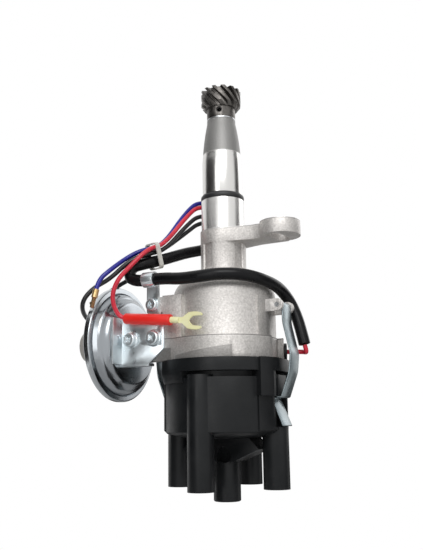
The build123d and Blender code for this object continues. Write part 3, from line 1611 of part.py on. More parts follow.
fork_origin = (boot_start_x, boot_y + fork_thickness / 2, boot_z)
fork_plane = Plane(origin=fork_origin, x_dir=boot_direction, z_dir=(0, -1, 0))
with BuildPart() as fork_terminal:
    # Rolled barrel in the boot's mouth and a flat two-pronged fork
    with BuildSketch(boot_plane.offset(boot_length + seated)):
        Circle(fork_barrel_r)
        Circle(fork_barrel_r - fork_thickness, mode=Mode.SUBTRACT)
    extrude(amount=fork_barrel_length)
    with BuildSketch(fork_plane):
        with Locations((fork_centre, 0)):
            Circle(fork_outer_half)
            Rectangle(fork_prong_length, 2 * fork_outer_half, align=(Align.MIN, Align.CENTER))
            Circle(fork_inner_half, mode=Mode.SUBTRACT)
            Rectangle(
                fork_prong_length + 1,
                2 * fork_inner_half,
                align=(Align.MIN, Align.CENTER),
                mode=Mode.SUBTRACT,
            )
    extrude(amount=fork_thickness)
fork_terminal.part.label = "fork_terminal"
export_step(fork_terminal.part, "parts/fork_terminal.step")

for node, route_points, blade_width, blade_length in (
    ("blue_terminal", blue_points, 3.0, 6.5),
    ("black_terminal", black_b_points, 4.2, 9.0),
):
    lead_end = Vector(*route_points[-1])
    terminal_plane = Plane(origin=lead_end, z_dir=lead_end - Vector(*route_points[-2]))
    with BuildPart() as crimp_terminal:
        # Crimped barrel and a flat blade
        with BuildSketch(terminal_plane.offset(seated)):
            Circle(crimp_r)
        extrude(amount=crimp_length)
        with BuildSketch(terminal_plane.offset(crimp_length)):
            Rectangle(blade_width, blade_thickness)
        extrude(amount=blade_length)
    crimp_terminal.part.label = node
    export_step(crimp_terminal.part, f"parts/{node}.step")

with BuildPart() as cable_tie:
    # Strap round the sleeve and the four leads, with its locking head
    with BuildSketch(tie_plane.offset(-tie_band / 2)):
        RectangleRounded(2 * (tie_half_width + tie_thickness), 2 * (tie_half_height + tie_thickness), 2.4)
        RectangleRounded(2 * tie_half_width, 2 * tie_half_height, 1.6, mode=Mode.SUBTRACT)
        with Locations((-tie_half_width - tie_thickness - tie_head / 2 + 0.6, 0)):
            Rectangle(tie_head, tie_head * 1.4)
    extrude(amount=tie_band)
cable_tie.part.label = "cable_tie"
export_step(cable_tie.part, "parts/cable_tie.step")
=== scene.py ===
import json
import math

import bmesh
import bpy
from mathutils import Matrix, Vector


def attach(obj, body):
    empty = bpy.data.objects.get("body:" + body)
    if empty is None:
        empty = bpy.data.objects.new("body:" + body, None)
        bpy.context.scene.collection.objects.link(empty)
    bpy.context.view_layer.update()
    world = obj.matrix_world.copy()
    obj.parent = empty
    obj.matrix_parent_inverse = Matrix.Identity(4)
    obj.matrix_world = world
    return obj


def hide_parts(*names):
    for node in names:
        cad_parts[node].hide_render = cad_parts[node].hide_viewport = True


# Ignition distributor: the looks round the CAD frame, in metres, in the frame's own axes.

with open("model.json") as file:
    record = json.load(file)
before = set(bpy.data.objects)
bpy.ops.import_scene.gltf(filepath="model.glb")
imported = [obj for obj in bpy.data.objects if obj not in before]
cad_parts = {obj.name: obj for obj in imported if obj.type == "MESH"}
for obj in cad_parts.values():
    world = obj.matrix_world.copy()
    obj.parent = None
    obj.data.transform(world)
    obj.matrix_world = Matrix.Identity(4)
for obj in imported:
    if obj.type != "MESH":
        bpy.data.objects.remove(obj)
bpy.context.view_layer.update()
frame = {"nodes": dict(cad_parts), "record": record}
nodes = frame["nodes"]
slotOf = {s["node"]: s["material_slot"] for s in frame["record"]["subparts"]}
print("stage: frame loaded")

sleevePoints = [
    (0.0465, 0.0140, -0.0721),
    (0.0446, 0.0142, -0.0640),
    (0.0422, 0.0145, -0.0556),
    (0.0384, 0.0140, -0.0460),
    (0.0360, 0.0060, -0.0394),
    (0.0344, -0.0050, -0.0366),
    (0.0296, -0.0195, -0.0346),
    (0.0224, -0.0276, -0.0336),
    (0.0125, -0.0334, -0.0336),
    (0.0010, -0.0357, -0.0344),
    (-0.0115, -0.0361, -0.0346),
    (-0.0225, -0.0361, -0.0330),
    (-0.0460, -0.0361, -0.0330),
    (-0.0465, -0.0352, -0.0236),
    (-0.0384, -0.0292, -0.0208),
    (-0.0333, -0.0161, -0.0163),
    (-0.0279, 0.0000, -0.0098),
    (-0.0225, 0.0125, -0.0060),
    (-0.0120, 0.0195, -0.0030),
]
tailPoints = [
    (0.0466, 0.0140, -0.0726),
    (0.0478, 0.0146, -0.0774),
    (0.0434, 0.0202, -0.0760),
    (0.0334, 0.0156, -0.0760),
]
redPoints = [
    (-0.0108, 0.0185, -0.0044),
    (-0.0028, 0.0240, -0.0022),
    (0.0028, 0.0248, 0.0075),
    (-0.0027, 0.0220, 0.0195),
    (-0.0207, 0.0076, 0.0233),
    (-0.0258, 0.0004, 0.0158),
    (-0.0325, -0.0188, -0.0080),
    (-0.0342, -0.0338, -0.0127),
    (-0.0421, -0.0418, -0.0247),
    (-0.0484, -0.0451, -0.0323),
    (-0.0529, -0.0447, -0.0409),
    (-0.0535, -0.0416, -0.0490),
    (-0.0512, -0.0372, -0.05518),
    (-0.0440, -0.0372, -0.0559),
]
bluePoints = [
    (-0.0125, 0.0209, -0.0044),
    (-0.0045, 0.0264, -0.0022),
    (0.0012, 0.0272, 0.0075),
    (-0.0043, 0.0244, 0.0215),
    (-0.0226, 0.0112, 0.0280),
    (-0.0284, 0.0024, 0.0187),
    (-0.0351, -0.0169, -0.0082),
    (-0.0395, -0.0316, -0.0125),
    (-0.0478, -0.0357, -0.0169),
    (-0.0527, -0.0474, -0.0267),
    (-0.0574, -0.0522, -0.0330),
    (-0.0583, -0.0532, -0.0390),
]
blackAPoints = [
    (-0.0114, 0.0181, -0.0016),
    (-0.0066, 0.0214, -0.0003),
    (-0.0018, 0.0234, 0.0070),
    (-0.0072, 0.0202, 0.0145),
    (-0.0208, 0.0076, 0.0172),
    (-0.0262, -0.0015, 0.0079),
    (-0.0322, -0.0179, -0.0112),
    (-0.0364, -0.0308, -0.0150),
    (-0.0446, -0.0392, -0.0205),
    (-0.0550, -0.0441, -0.0314),
    (-0.0620, -0.0496, -0.0365),
    (-0.0671, -0.0534, -0.0433),
    (-0.0711, -0.0505, -0.0493),
    (-0.0800, -0.0335, -0.0532),
    (-0.0920, -0.0050, -0.0563),
]
blackBPoints = [
    (-0.0131, 0.0206, -0.0016),
    (-0.0083, 0.0239, -0.0003),
    (-0.0034, 0.0258, 0.0066),
    (-0.0098, 0.0221, 0.0130),
    (-0.0218, 0.0093, 0.0126),
    (-0.0272, 0.0002, 0.0037),
    (-0.0356, -0.0169, -0.0112),
    (-0.0385, -0.0281, -0.0145),
    (-0.0475, -0.0235, -0.0195),
    (-0.0570, -0.0210, -0.0280),
    (-0.0660, -0.0190, -0.0300),
    (-0.0760, -0.0190, -0.0350),
]


def newMaterial(name):
    material = bpy.data.materials.new(name)
    material.use_nodes = True
    return material, material.node_tree.nodes, material.node_tree.links


def ranged(tree, links, value, fromLow, fromHigh, toLow=0.0, toHigh=1.0):
    # The value carried from one range to another and held inside it
    spread = tree.new("ShaderNodeMapRange")
    limits = {"From Min": fromLow, "From Max": fromHigh, "To Min": toLow, "To Max": toHigh}
    for socket, limit in limits.items():
        spread.inputs[socket].default_value = limit
    links.new(value, spread.inputs["Value"])
    return spread.outputs["Result"]


def reckoned(tree, links, operation, *values):
    # One step of arithmetic on numbers and on other nodes' values
    step = tree.new("ShaderNodeMath")
    step.operation = operation
    for socket, value in zip(step.inputs, values):
        if isinstance(value, float):
            socket.default_value = value
        else:
            links.new(value, socket)
    return step.outputs["Value"]


def blended(tree, links, share, first, second):
    # first where the share is nought, second where it is one
    mixed = tree.new("ShaderNodeMix")
    mixed.data_type = "RGBA"
    links.new(share, mixed.inputs["Factor"])
    for socket, colour in (("A", first), ("B", second)):
        if isinstance(colour, tuple):
            mixed.inputs[socket].default_value = (*colour, 1.0)
        else:
            links.new(colour, mixed.inputs[socket])
    return mixed.outputs["Result"]


def placeOf(tree, links):
    # Coordinates on the object, whole and by axis
    coordinates = tree.new("ShaderNodeTexCoord")
    split = tree.new("ShaderNodeSeparateXYZ")
    links.new(coordinates.outputs["Object"], split.inputs["Vector"])
    return coordinates.outputs["Object"], split.outputs


# How deep the fine relief is, which part of the noise is used, and how much finer the gloss
# wanders than the colour
unevenness = {"depth": 0.0003, "noiseLow": 0.3, "noiseHigh": 0.7, "finer": 2.3}


def noiseInto(tree, links, scale, detail, low, high):
    # A value between low and high that wanders over the object
    place, _ = placeOf(tree, links)
    noise = tree.new("ShaderNodeTexNoise")
    noise.inputs["Scale"].default_value = scale
    noise.inputs["Detail"].default_value = detail
    links.new(place, noise.inputs["Vector"])
    used = unevenness["noiseLow"], unevenness["noiseHigh"]
    return ranged(tree, links, noise.outputs["Fac"], *used, low, high)


def raised(tree, links, shader, height, strength):
    # Fine relief of the skin
    bump = tree.new("ShaderNodeBump")
    bump.inputs["Strength"].default_value = strength
    bump.inputs["Distance"].default_value = unevenness["depth"]
    links.new(height, bump.inputs["Height"])
    links.new(bump.outputs["Normal"], shader.inputs["Normal"])


def banded(tree, links, value, stops):
    # A colour ramp with the given stops, each a place and a colour with alpha
    band = tree.new("ShaderNodeValToRGB")
    while len(band.color_ramp.elements) < len(stops):
        band.color_ramp.elements.new(0.5)
    for element, (place, colour) in zip(band.color_ramp.elements, stops):
        element.position = place
        element.color = colour
    links.new(value, band.inputs["Fac"])
    return band.outputs


def surface(
    name, dark, light, metallic, rough, scale=90.0, bump=0.0, bumpScale=900.0, specular=0.5
):
    # dark and light are the two ends of the colour's wander, rough the two ends of the roughness
    material, tree, links = newMaterial(name)
    shader = tree["Principled BSDF"]
    shader.inputs["Metallic"].default_value = metallic
    shader.inputs["Specular IOR Level"].default_value = specular
    wander = noiseInto(tree, links, scale, 4.0, 0.0, 1.0)
    links.new(blended(tree, links, wander, dark, light), shader.inputs["Base Color"])
    gloss = noiseInto(tree, links, scale * unevenness["finer"], 3.0, *rough)
    links.new(gloss, shader.inputs["Roughness"])
    if bump:
        raised(tree, links, shader, noiseInto(tree, links, bumpScale, 2.0, 0.0, 1.0), bump)
    return material


casting = {
    "heightLow": -0.1,
    "heightHigh": 0.1,
    "turnedBottom": 0.0,
    "turnedTop": 0.0512,
    "blend": 0.0004,
    "dark": (0.48, 0.46, 0.44),
    "light": (0.70, 0.675, 0.65),
    # Painted shade: its colour, and how much of it goes below the ledge, on the flat, as a painted
    # shadow line in the crease and on the rib
    "paintedShade": (0.12, 0.117, 0.112),
    "raw": (0.25, 0.247, 0.24),
    "bright": (0.69, 0.68, 0.665),
    "ledgeZ": (-0.0680, -0.0700),
    "ledgeShadeShare": 0.22,
    "flatR": (0.0369, 0.0372),
    "flatZ": (-0.0740, -0.0744),
    "flatShadeShare": 0.42,
    "creaseZ": -0.0688,
    "creaseHalf": 0.0003,
    "creaseShadowShare": 0.65,
    # Middle and half-size of the rib's room along X, along Y, along Z and out from the axis
    "rib": ((0.0310, 0.0040), (-0.0102, 0.0050), (-0.0566, 0.0117), (0.0345, 0.0019)),
    "ribShadeShare": 0.38,
    "skinScale": 900.0,
    "skinMetal": 0.55,
    "skinRough": 0.50,
    "turnedMetal": 1.0,
    "turnedRough": 0.24,
    "pitScale": 1100.0,
    "grooveScale": 900.0,
    "grooveWarp": 0.6,
    "grooveDepth": 0.12,
    "relief": 0.25,
}


def paintedShadeShare(tree, links, axes):
    # How much painted shade darkens the casting: below the ledge, on the flat, as a painted shadow
    # line in the crease and on the rib
    fromAxis = tree.new("ShaderNodeCombineXYZ")
    links.new(axes["X"], fromAxis.inputs["X"])
    links.new(axes["Y"], fromAxis.inputs["Y"])
    length = tree.new("ShaderNodeVectorMath")
    length.operation = "LENGTH"
    links.new(fromAxis.outputs["Vector"], length.inputs[0])
    out = length.outputs["Value"]
    lower = ranged(tree, links, axes["Z"], *casting["ledgeZ"], 0.0, casting["ledgeShadeShare"])
    outward = ranged(tree, links, out, *casting["flatR"], 0.0, casting["flatShadeShare"])
    below = ranged(tree, links, axes["Z"], *casting["flatZ"])
    onFlat = reckoned(tree, links, "MULTIPLY", outward, below)
    share = reckoned(tree, links, "ADD", lower, onFlat)
    middle, half = casting["creaseZ"], casting["creaseHalf"]
    inCrease = reckoned(tree, links, "COMPARE", axes["Z"], middle, half)
    share = reckoned(tree, links, "MULTIPLY_ADD", inCrease, casting["creaseShadowShare"], share)
    within = [
        reckoned(tree, links, "COMPARE", value, middle, half)
        for value, (middle, half) in zip((axes["X"], axes["Y"], axes["Z"], out), casting["rib"])
    ]
    onRib = within[0]
    for inside in within[1:]:
        onRib = reckoned(tree, links, "MULTIPLY", onRib, inside)
    return reckoned(tree, links, "MULTIPLY_ADD", onRib, casting["ribShadeShare"], share)


def castAluminium(name):
    # Fine cast skin darkened by painted shade below the ledge, on the flat, in the crease and on
    # the rib, a bright turned stem and a raw grey end above it
    material, tree, links = newMaterial(name)
    shader = tree["Principled BSDF"]
    place, axes = placeOf(tree, links)
    low, high, blend = (casting[key] for key in ("heightLow", "heightHigh", "blend"))
    bottom, top = casting["turnedBottom"], casting["turnedTop"]
    # Cast skin is 0, the turned stem is 1 and the raw end is a half
    heights = (
        (low, 0.0),
        (bottom - blend, 0.0),
        (bottom, 1.0),
        (top, 1.0),
        (top + blend, 0.5),
    )
    stops = [((z - low) / (high - low), (level, level, level, 1.0)) for z, level in heights]
    band = banded(tree, links, ranged(tree, links, axes["Z"], low, high), stops)["Color"]
    turned = ranged(tree, links, band, 0.5, 1.0)
    wander = noiseInto(tree, links, casting["skinScale"], 8.0, 0.0, 1.0)
    skinTone = blended(tree, links, wander, casting["dark"], casting["light"])
    # Painted shade over the skin's own tone, below the ledge, on the flat, in the crease and on
    # the rib
    withPaintedShade = blended(tree, links, paintedShadeShare(tree, links, axes), skinTone, casting["paintedShade"])
    rawEnd = reckoned(tree, links, "COMPARE", band, 0.5, 0.2)
    greyed = blended(tree, links, rawEnd, withPaintedShade, casting["raw"])
    links.new(blended(tree, links, turned, greyed, casting["bright"]), shader.inputs["Base Color"])
    for socket, skinEnd, turnedEnd in (
        ("Metallic", casting["skinMetal"], casting["turnedMetal"]),
        ("Roughness", casting["skinRough"], casting["turnedRough"]),
    ):
        links.new(ranged(tree, links, turned, 0.0, 1.0, skinEnd, turnedEnd), shader.inputs[socket])
    grooves = tree.new("ShaderNodeTexWave")
    grooves.bands_direction = "Z"
    grooves.inputs["Scale"].default_value = casting["grooveScale"]
    grooves.inputs["Distortion"].default_value = casting["grooveWarp"]
    links.new(place, grooves.inputs["Vector"])
    skin = tree.new("ShaderNodeMix")
    links.new(turned, skin.inputs["Factor"])
    links.new(noiseInto(tree, links, casting["pitScale"], 3.0, 0.0, 1.0), skin.inputs["A"])
    shallow = reckoned(tree, links, "MULTIPLY", grooves.outputs["Fac"], casting["grooveDepth"])
    links.new(shallow, skin.inputs["B"])
    raised(tree, links, shader, skin.outputs["Result"], casting["relief"])
    return material


plating = {
    "coverEnd": -0.095,
    "panEnd": -0.045,
    "boss": (0.44, 0.425, 0.40),
    "cover": (0.56, 0.59, 0.61),
    # The pan's darker colour is painted shade on the same plated sheet as the cover
    "pan": (0.33, 0.35, 0.37),
    "bossMetal": 0.1,
    # Shares of the way along at which one zone ends and the next begins
    "bossStops": 0.325,
    "coverStarts": 0.345,
    "coverStops": 0.60,
    "panStarts": 0.65,
    "matte": 0.52,
    "gloss": 0.22,
    "patchScale": 60.0,
    "patchLow": 0.75,
    "patchHigh": 1.25,
}


def pressedZinc(name):
    # Bright plated sheet, with painted shade making the pan darker than the cover, and matte on
    # the boss
    material, tree, links = newMaterial(name)
    shader = tree["Principled BSDF"]
    _, axes = placeOf(tree, links)
    boss = (*plating["boss"], plating["bossMetal"])
    cover, pan = (*plating["cover"], 1.0), (*plating["pan"], 1.0)
    along = ranged(tree, links, axes["X"], plating["coverEnd"], plating["panEnd"])
    stops = [
        (0.0, boss),
        (plating["bossStops"], boss),
        (plating["coverStarts"], cover),
        (plating["coverStops"], cover),
        (plating["panStarts"], pan),
    ]
    zones = banded(tree, links, along, stops)
    links.new(zones["Color"], shader.inputs["Base Color"])
    links.new(zones["Alpha"], shader.inputs["Metallic"])
    gloss = plating["matte"], plating["gloss"]
    even = ranged(tree, links, zones["Alpha"], plating["bossMetal"], 1.0, *gloss)
    patchEnds = plating["patchLow"], plating["patchHigh"]
    patches = noiseInto(tree, links, plating["patchScale"], 3.0, *patchEnds)
    links.new(reckoned(tree, links, "MULTIPLY", even, patches), shader.inputs["Roughness"])
    return material


finishes = {
    "cast_aluminium": castAluminium("castAluminium"),
    "gear_steel": surface(
        "gearSteel",
        dark=(0.07, 0.065, 0.06),
        light=(0.17, 0.16, 0.15),
        metallic=0.9,
        rough=(0.28, 0.5),
        scale=160.0,
        bump=0.15,
    ),
    "steel": surface(
        "plainSteel",
        dark=(0.50, 0.51, 0.52),
        light=(0.64, 0.65, 0.66),
        metallic=1.0,
        rough=(0.25, 0.38),
        scale=120.0,
    ),
    "sintered_bronze": surface(
        "sinteredBronze",
        dark=(0.42, 0.27, 0.13),
        light=(0.58, 0.40, 0.20),
        metallic=0.9,
        rough=(0.4, 0.55),
        scale=300.0,
        bump=0.2,
    ),
    "zinc_sheet": surface(
        "zincSheet",
        dark=(0.62, 0.68, 0.71),
        light=(0.78, 0.83, 0.85),
        metallic=0.9,
        rough=(0.26, 0.40),
        scale=70.0,
        bump=0.05,
    ),
    "zinc_canister": pressedZinc("pressedZinc"),
    "spring_steel": surface(
        "springSteel",
        dark=(0.18, 0.215, 0.23),
        light=(0.29, 0.335, 0.35),
        metallic=0.85,
        rough=(0.26, 0.38),
        scale=80.0,
    ),
    "cap_plastic": surface(
        "capPlastic",
        dark=(0.006, 0.007, 0.008),
        light=(0.013, 0.014, 0.015),
        metallic=0.0,
        rough=(0.34, 0.46),
        scale=60.0,
        bump=0.06,
        bumpScale=700.0,
        specular=0.22,
    ),
    "rotor_plastic": surface(
        "rotorPlastic",
        dark=(0.16, 0.05, 0.03),
        light=(0.24, 0.08, 0.05),
        metallic=0.0,
        rough=(0.4, 0.5),
        scale=90.0,
    ),
    "module_plastic": surface(
        "modulePlastic",
        dark=(0.03, 0.03, 0.035),
        light=(0.05, 0.05, 0.055),
        metallic=0.0,
        rough=(0.45, 0.55),
        scale=90.0,
    ),
    "brass": surface(
        "brightBrass",
        dark=(0.50, 0.34, 0.15),
        light=(0.66, 0.48, 0.26),
        metallic=1.0,
        rough=(0.26, 0.38),
        scale=140.0,
    ),
    "contact_aluminium": surface(
        "contactAluminium",
        dark=(0.66, 0.66, 0.66),
        light=(0.78, 0.78, 0.78),
        metallic=1.0,
        rough=(0.3, 0.42),
        scale=120.0,
    ),
    "carbon": surface(
        "pressedCarbon",
        dark=(0.03, 0.03, 0.03),
        light=(0.05, 0.05, 0.05),
        metallic=0.0,
        rough=(0.6, 0.7),
        scale=200.0,
        bump=0.2,
    ),
    "black_rubber": surface(
        "blackRubber",
        dark=(0.010, 0.010, 0.011),
        light=(0.022, 0.022, 0.024),
        metallic=0.0,
        rough=(0.4, 0.55),
        scale=120.0,
        bump=0.05,
    ),
    "sleeve_vinyl": surface(
        "sleeveVinyl",
        dark=(0.004, 0.004, 0.005),
        light=(0.009, 0.009, 0.010),
        metallic=0.0,
        rough=(0.24, 0.36),
        scale=70.0,
        bump=0.08,
        bumpScale=260.0,
        specular=0.17,
    ),
    "red_vinyl": surface(
        "redVinyl",
        dark=(0.66, 0.020, 0.045),
        light=(0.80, 0.040, 0.075),
        metallic=0.0,
        rough=(0.26, 0.36),
        scale=80.0,
    ),
    "boot_vinyl": surface(
        "bootVinyl",
        dark=(0.92, 0.022, 0.016),
        light=(0.99, 0.036, 0.026),
        metallic=0.0,
        rough=(0.30, 0.42),
        scale=80.0,
        bump=0.06,
        bumpScale=300.0,
    ),
    "blue_vinyl": surface(
        "blueVinyl",
        dark=(0.008, 0.010, 0.24),
        light=(0.016, 0.020, 0.38),
        metallic=0.0,
        rough=(0.28, 0.38),
        scale=80.0,
    ),
    "black_vinyl": surface(
        "blackVinyl",
        dark=(0.006, 0.006, 0.007),
        light=(0.014, 0.014, 0.016),
        metallic=0.0,
        rough=(0.28, 0.40),
        scale=80.0,
    ),
    "fork_plate": surface(
        "forkPlate",
        dark=(0.95, 0.92, 0.50),
        light=(0.99, 0.97, 0.62),
        metallic=0.0,
        rough=(0.30, 0.42),
        scale=120.0,
    ),
    "nylon": surface(
        "offWhiteNylon",
        dark=(0.66, 0.65, 0.60),
        light=(0.76, 0.75, 0.70),
        metallic=0.0,
        rough=(0.35, 0.45),
        scale=80.0,
    ),
}
for node, shown in nodes.items():
    shown.data.materials.clear()
    shown.data.materials.append(finishes[slotOf[node]])
nodes["gear_pin"].data.materials[0] = surface(
    "pinSteel",
    dark=(0.020, 0.019, 0.018),
    light=(0.040, 0.038, 0.036),
    metallic=0.4,
    rough=(0.5, 0.6),
    scale=160.0,
)
print("stage: materials on every CAD node")


def addPiece(name, mesh, slot, body, *replaced):
    # A finished mesh as a piece of the object
    piece = bpy.data.objects.new(name, mesh)
    bpy.context.scene.collection.objects.link(piece)
    mesh.materials.clear()
    mesh.materials.append(finishes[slot])
    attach(piece, body)
    if replaced:
        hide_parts(*replaced)
    return piece


# The distance under which points are one, and the angles in degrees at which faces count
# as flat, shading breaks and an edge is a corner
meshing = {"merge": 1e-6, "flat": 0.5, "sharp": 38.0, "turnedSharp": 40.0, "corner": 60.0}


def softened(name, node, width, segments=2, limit=35.0):
    # The CAD solid with its edges broken, as moulding and casting leave them
    source = nodes[node]
    working = bmesh.new()
    working.from_mesh(source.data)
    bmesh.ops.remove_doubles(working, verts=working.verts, dist=meshing["merge"])
    bmesh.ops.dissolve_limit(
        working,
        angle_limit=math.radians(meshing["flat"]),
        verts=working.verts,
        edges=working.edges,
        delimit={"NORMAL"},
    )
    mesh = bpy.data.meshes.new(name + "Mesh")
    working.to_mesh(mesh)
    working.free()
    temporary = bpy.data.objects.new(name + "Work", mesh)
    bpy.context.scene.collection.objects.link(temporary)
    edge = temporary.modifiers.new("edge", "BEVEL")
    edge.width = width
    edge.segments = segments
    edge.limit_method = "ANGLE"
    edge.angle_limit = math.radians(limit)
    edge.harden_normals = False
    depsgraph = bpy.context.evaluated_depsgraph_get()
    finished = bpy.data.meshes.new_from_object(temporary.evaluated_get(depsgraph))
    bpy.data.objects.remove(temporary)
    finished.shade_smooth()
    finished.set_sharp_from_angle(angle=math.radians(meshing["sharp"]))
    return addPiece(name, finished, slotOf[node], bodyOf(node), node)


def bodyOf(node):
    bodies = frame["record"]["behaviour"]["bodies"]
    return next(body for body, members in bodies.items() if node in members)


def addCurve(name, points, radius, slot, body, resolution=8):
    curve = bpy.data.curves.new(name + "Curve", "CURVE")
    curve.dimensions = "3D"
    curve.bevel_depth = 1.0
    curve.bevel_resolution = 4
    curve.use_fill_caps = True
    curve.resolution_u = resolution
    spline = curve.splines.new("NURBS")
    spline.points.add(len(points) - 1)
    for place, point in zip(spline.points, points):
        place.co = (*point, 1.0)
        place.radius = radius
    spline.order_u = 3
    spline.use_endpoint_u = True
    curve.materials.append(finishes[slot])
    piece = bpy.data.objects.new(name, curve)
    bpy.context.scene.collection.objects.link(piece)
    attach(piece, body)
    return piece


def runLength(piece):
    # Length of the curve's own line
    depth = piece.data.bevel_depth
    piece.data.bevel_depth = 0.0
    bpy.context.view_layer.update()
    depsgraph = bpy.context.evaluated_depsgraph_get()
    line = bpy.data.meshes.new_from_object(piece.evaluated_get(depsgraph))
    ends = [[line.vertices[index].co for index in edge.vertices] for edge in line.edges]
    length = sum((first - second).length for first, second in ends)
    bpy.data.meshes.remove(line)
    piece.data.bevel_depth = depth
    return length


def rounded(corners, radius, steps=4):
    # An open outline whose corners are short arcs
    outline = [Vector(corners[0])]
    for before, corner, after in zip(corners, corners[1:], corners[2:]):
        before, corner, after = Vector(before), Vector(corner), Vector(after)
        reach = min(radius, 0.45 * (corner - before).length, 0.45 * (after - corner).length)
        start = corner + (before - corner).normalized() * reach
        end = corner + (after - corner).normalized() * reach
        for step in range(steps + 1):
            share = step / steps
            outline.append(start.lerp(corner, share).lerp(corner.lerp(end, share), share))
    outline.append(Vector(corners[-1]))
    return outline


def turnedMesh(name, outline, centreY, centreZ, steps=128):
    # A closed outline of (along, out) points turned about a line along X
    corners = []
    faces = []
    count = len(outline)
    for step in range(steps):
        turn = 2 * math.pi * step / steps
        for along, out in outline:
            corners.append((along, centreY + out * math.cos(turn), centreZ + out * math.sin(turn)))
        ring = step * count
        following = (step + 1) % steps * count
        for index in range(count):
            beside = (index + 1) % count
            faces.append((ring + index, ring + beside, following + beside, following + index))
    mesh = bpy.data.meshes.new(name + "Mesh")
    mesh.from_pydata(corners, [], faces)
    working = bmesh.new()
    working.from_mesh(mesh)
    bmesh.ops.remove_doubles(working, verts=working.verts, dist=meshing["merge"])
    bmesh.ops.recalc_face_normals(working, faces=working.faces)
    working.to_mesh(mesh)
    working.free()
    mesh.shade_smooth()
    mesh.set_sharp_from_angle(angle=math.radians(meshing["turnedSharp"]))
    return mesh


cordSizes = {"sleeve": 0.0036, "lead": 0.0014}
leadR, sleeveR = cordSizes["lead"], cordSizes["sleeve"]
leadTail = addCurve("leadTail", list(reversed(tailPoints)), leadR, "red_vinyl", "body")
leadSleeve = addCurve("leadSleeve", sleevePoints, sleeveR, "sleeve_vinyl", "body", 12)
redLead = addCurve("redLead", redPoints, leadR, "red_vinyl", "body")
blueLead = addCurve("blueLead", bluePoints, leadR, "blue_vinyl", "body")
blackLeadA = addCurve("blackLeadA", blackAPoints, leadR, "black_vinyl", "body")
blackLeadB = addCurve("blackLeadB", blackBPoints, leadR, "black_vinyl", "body")
for piece, node in (
    (leadTail, "lead_tail"),
    (leadSleeve, "lead_sleeve"),
    (redLead, "red_lead"),
    (blueLead, "blue_lead"),
    (blackLeadA, "black_lead_a"),
    (blackLeadB, "black_lead_b"),
):
    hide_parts(node)
print("stage: cords laid")

housing = softened("castHousing", "housing", 0.0006)
# The flat over the cap runs out towards the vacuum unit, as a ramp. Angles are in degrees
flat = {
    "start": -57.0,
    "end": -112.5,
    "spare": 1.0,
    "top": -0.0744,
    "band": 0.0011,
    "inside": 0.0355,
    "fall": 0.0050,
}
for vertex in housing.data.vertices:
    reach = math.hypot(vertex.co.x, vertex.co.y)
    angle = math.degrees(math.atan2(vertex.co.y, vertex.co.x))
    onTop = abs(vertex.co.z - flat["top"]) < flat["band"] and reach > flat["inside"]
    if onTop and flat["end"] < angle < flat["start"] + flat["spare"]:
        share = max((flat["start"] - angle) / (flat["start"] - flat["end"]), 0.0)
        vertex.co.z -= flat["fall"] * share
softened("mouldedCap", "cap", 0.0008, 3)
for name, node, width in (
    ("bentBracket", "vacuum_bracket", 0.0003),
    ("springClipRight", "clip_a", 0.0002),
    ("springClipLeft", "clip_b", 0.0002),
    ("strapClamp", "cable_clamp", 0.0002),
    ("softBoot", "red_boot", 0.0005),
    ("helicalGear", "drive_gear", 0.00025),
    ("bracketScrews", "bracket_screws", 0.0002),
    ("strapScrew", "clamp_screw", 0.0002),
):
    softened(name, node, width)
print("stage: edges broken on the visible pieces")

fork = {
    "start": Vector((-0.048, -0.0372, -0.0555)),
    "along": Vector((1.0, 0.0, -0.1)).normalized(),
    "across": Vector((0.0, -1.0, 0.0)).cross(Vector((1.0, 0.0, -0.1)).normalized()),
    "thickness": 0.0008,
    "edge": 0.00015,
    "barrel": (0.03225, 0.0378),
    "barrelR": 0.0019,
    "boreR": 0.0011,
    "barrelStep": 0.0004,
    "barrelEdge": 0.0003,
    "steps": 24,
    # Distance along the boot's line and half-width, from the neck round to the slot's point
    "side": [
        (0.0372, 0.0017),
        (0.0400, 0.0018),
        (0.0420, 0.0034),
        (0.0438, 0.0047),
        (0.0462, 0.0051),
        (0.0494, 0.0052),
        (0.0518, 0.0048),
        (0.0530, 0.0040),
        (0.0528, 0.0031),
        (0.0514, 0.0030),
        (0.0492, 0.0029),
        (0.0468, 0.0026),
        (0.0452, 0.0012),
        (0.0444, 0.0),
    ],
}


def onFork(along, out, depth):
    # A point of the fork from its distances along, across and through the plate
    return fork["start"] + fork["along"] * along + fork["across"] * out + Vector((0.0, depth, 0.0))


def addForkPlate(working):
    # The flat two-pronged plate with its edges broken
    side, half = fork["side"], fork["thickness"] / 2
    outline = side + [(along, -out) for along, out in reversed(side[:-1])]
    rim = [working.verts.new(onFork(along, out, half)) for along, out in outline]
    plate = working.faces.new(rim)
    drawn = bmesh.ops.extrude_face_region(working, geom=[plate])
    far = [item for item in drawn["geom"] if isinstance(item, bmesh.types.BMVert)]
    bmesh.ops.translate(working, verts=far, vec=(0.0, -fork["thickness"], 0.0))
    bmesh.ops.recalc_face_normals(working, faces=working.faces)
    corner = math.radians(meshing["corner"])
    corners = [edge for edge in working.edges if edge.calc_face_angle() > corner]
    bmesh.ops.bevel(working, geom=corners, offset=fork["edge"], segments=2, affect="EDGES")


def addForkBarrel(working):
    # The rolled barrel in the boot's mouth, as a closed tube
    start, end = fork["barrel"]
    steps = fork["steps"]
    section = (
        (start, fork["boreR"]),
        (start, fork["barrelR"]),
        (end - fork["barrelStep"], fork["barrelR"]),
        (end, fork["barrelR"] - fork["barrelEdge"]),
        (end, fork["boreR"]),
    )
    turns = [2 * math.pi * step / steps for step in range(steps)]
    rings = [
        [
            working.verts.new(onFork(along, out * math.cos(turn), out * math.sin(turn)))
            for turn in turns
        ]
        for along, out in section
    ]
    for ring, following in zip(rings, rings[1:] + rings[:1]):
        for step in range(steps):
            beside = (step + 1) % steps
            working.faces.new((ring[step], ring[beside], following[beside], following[step]))


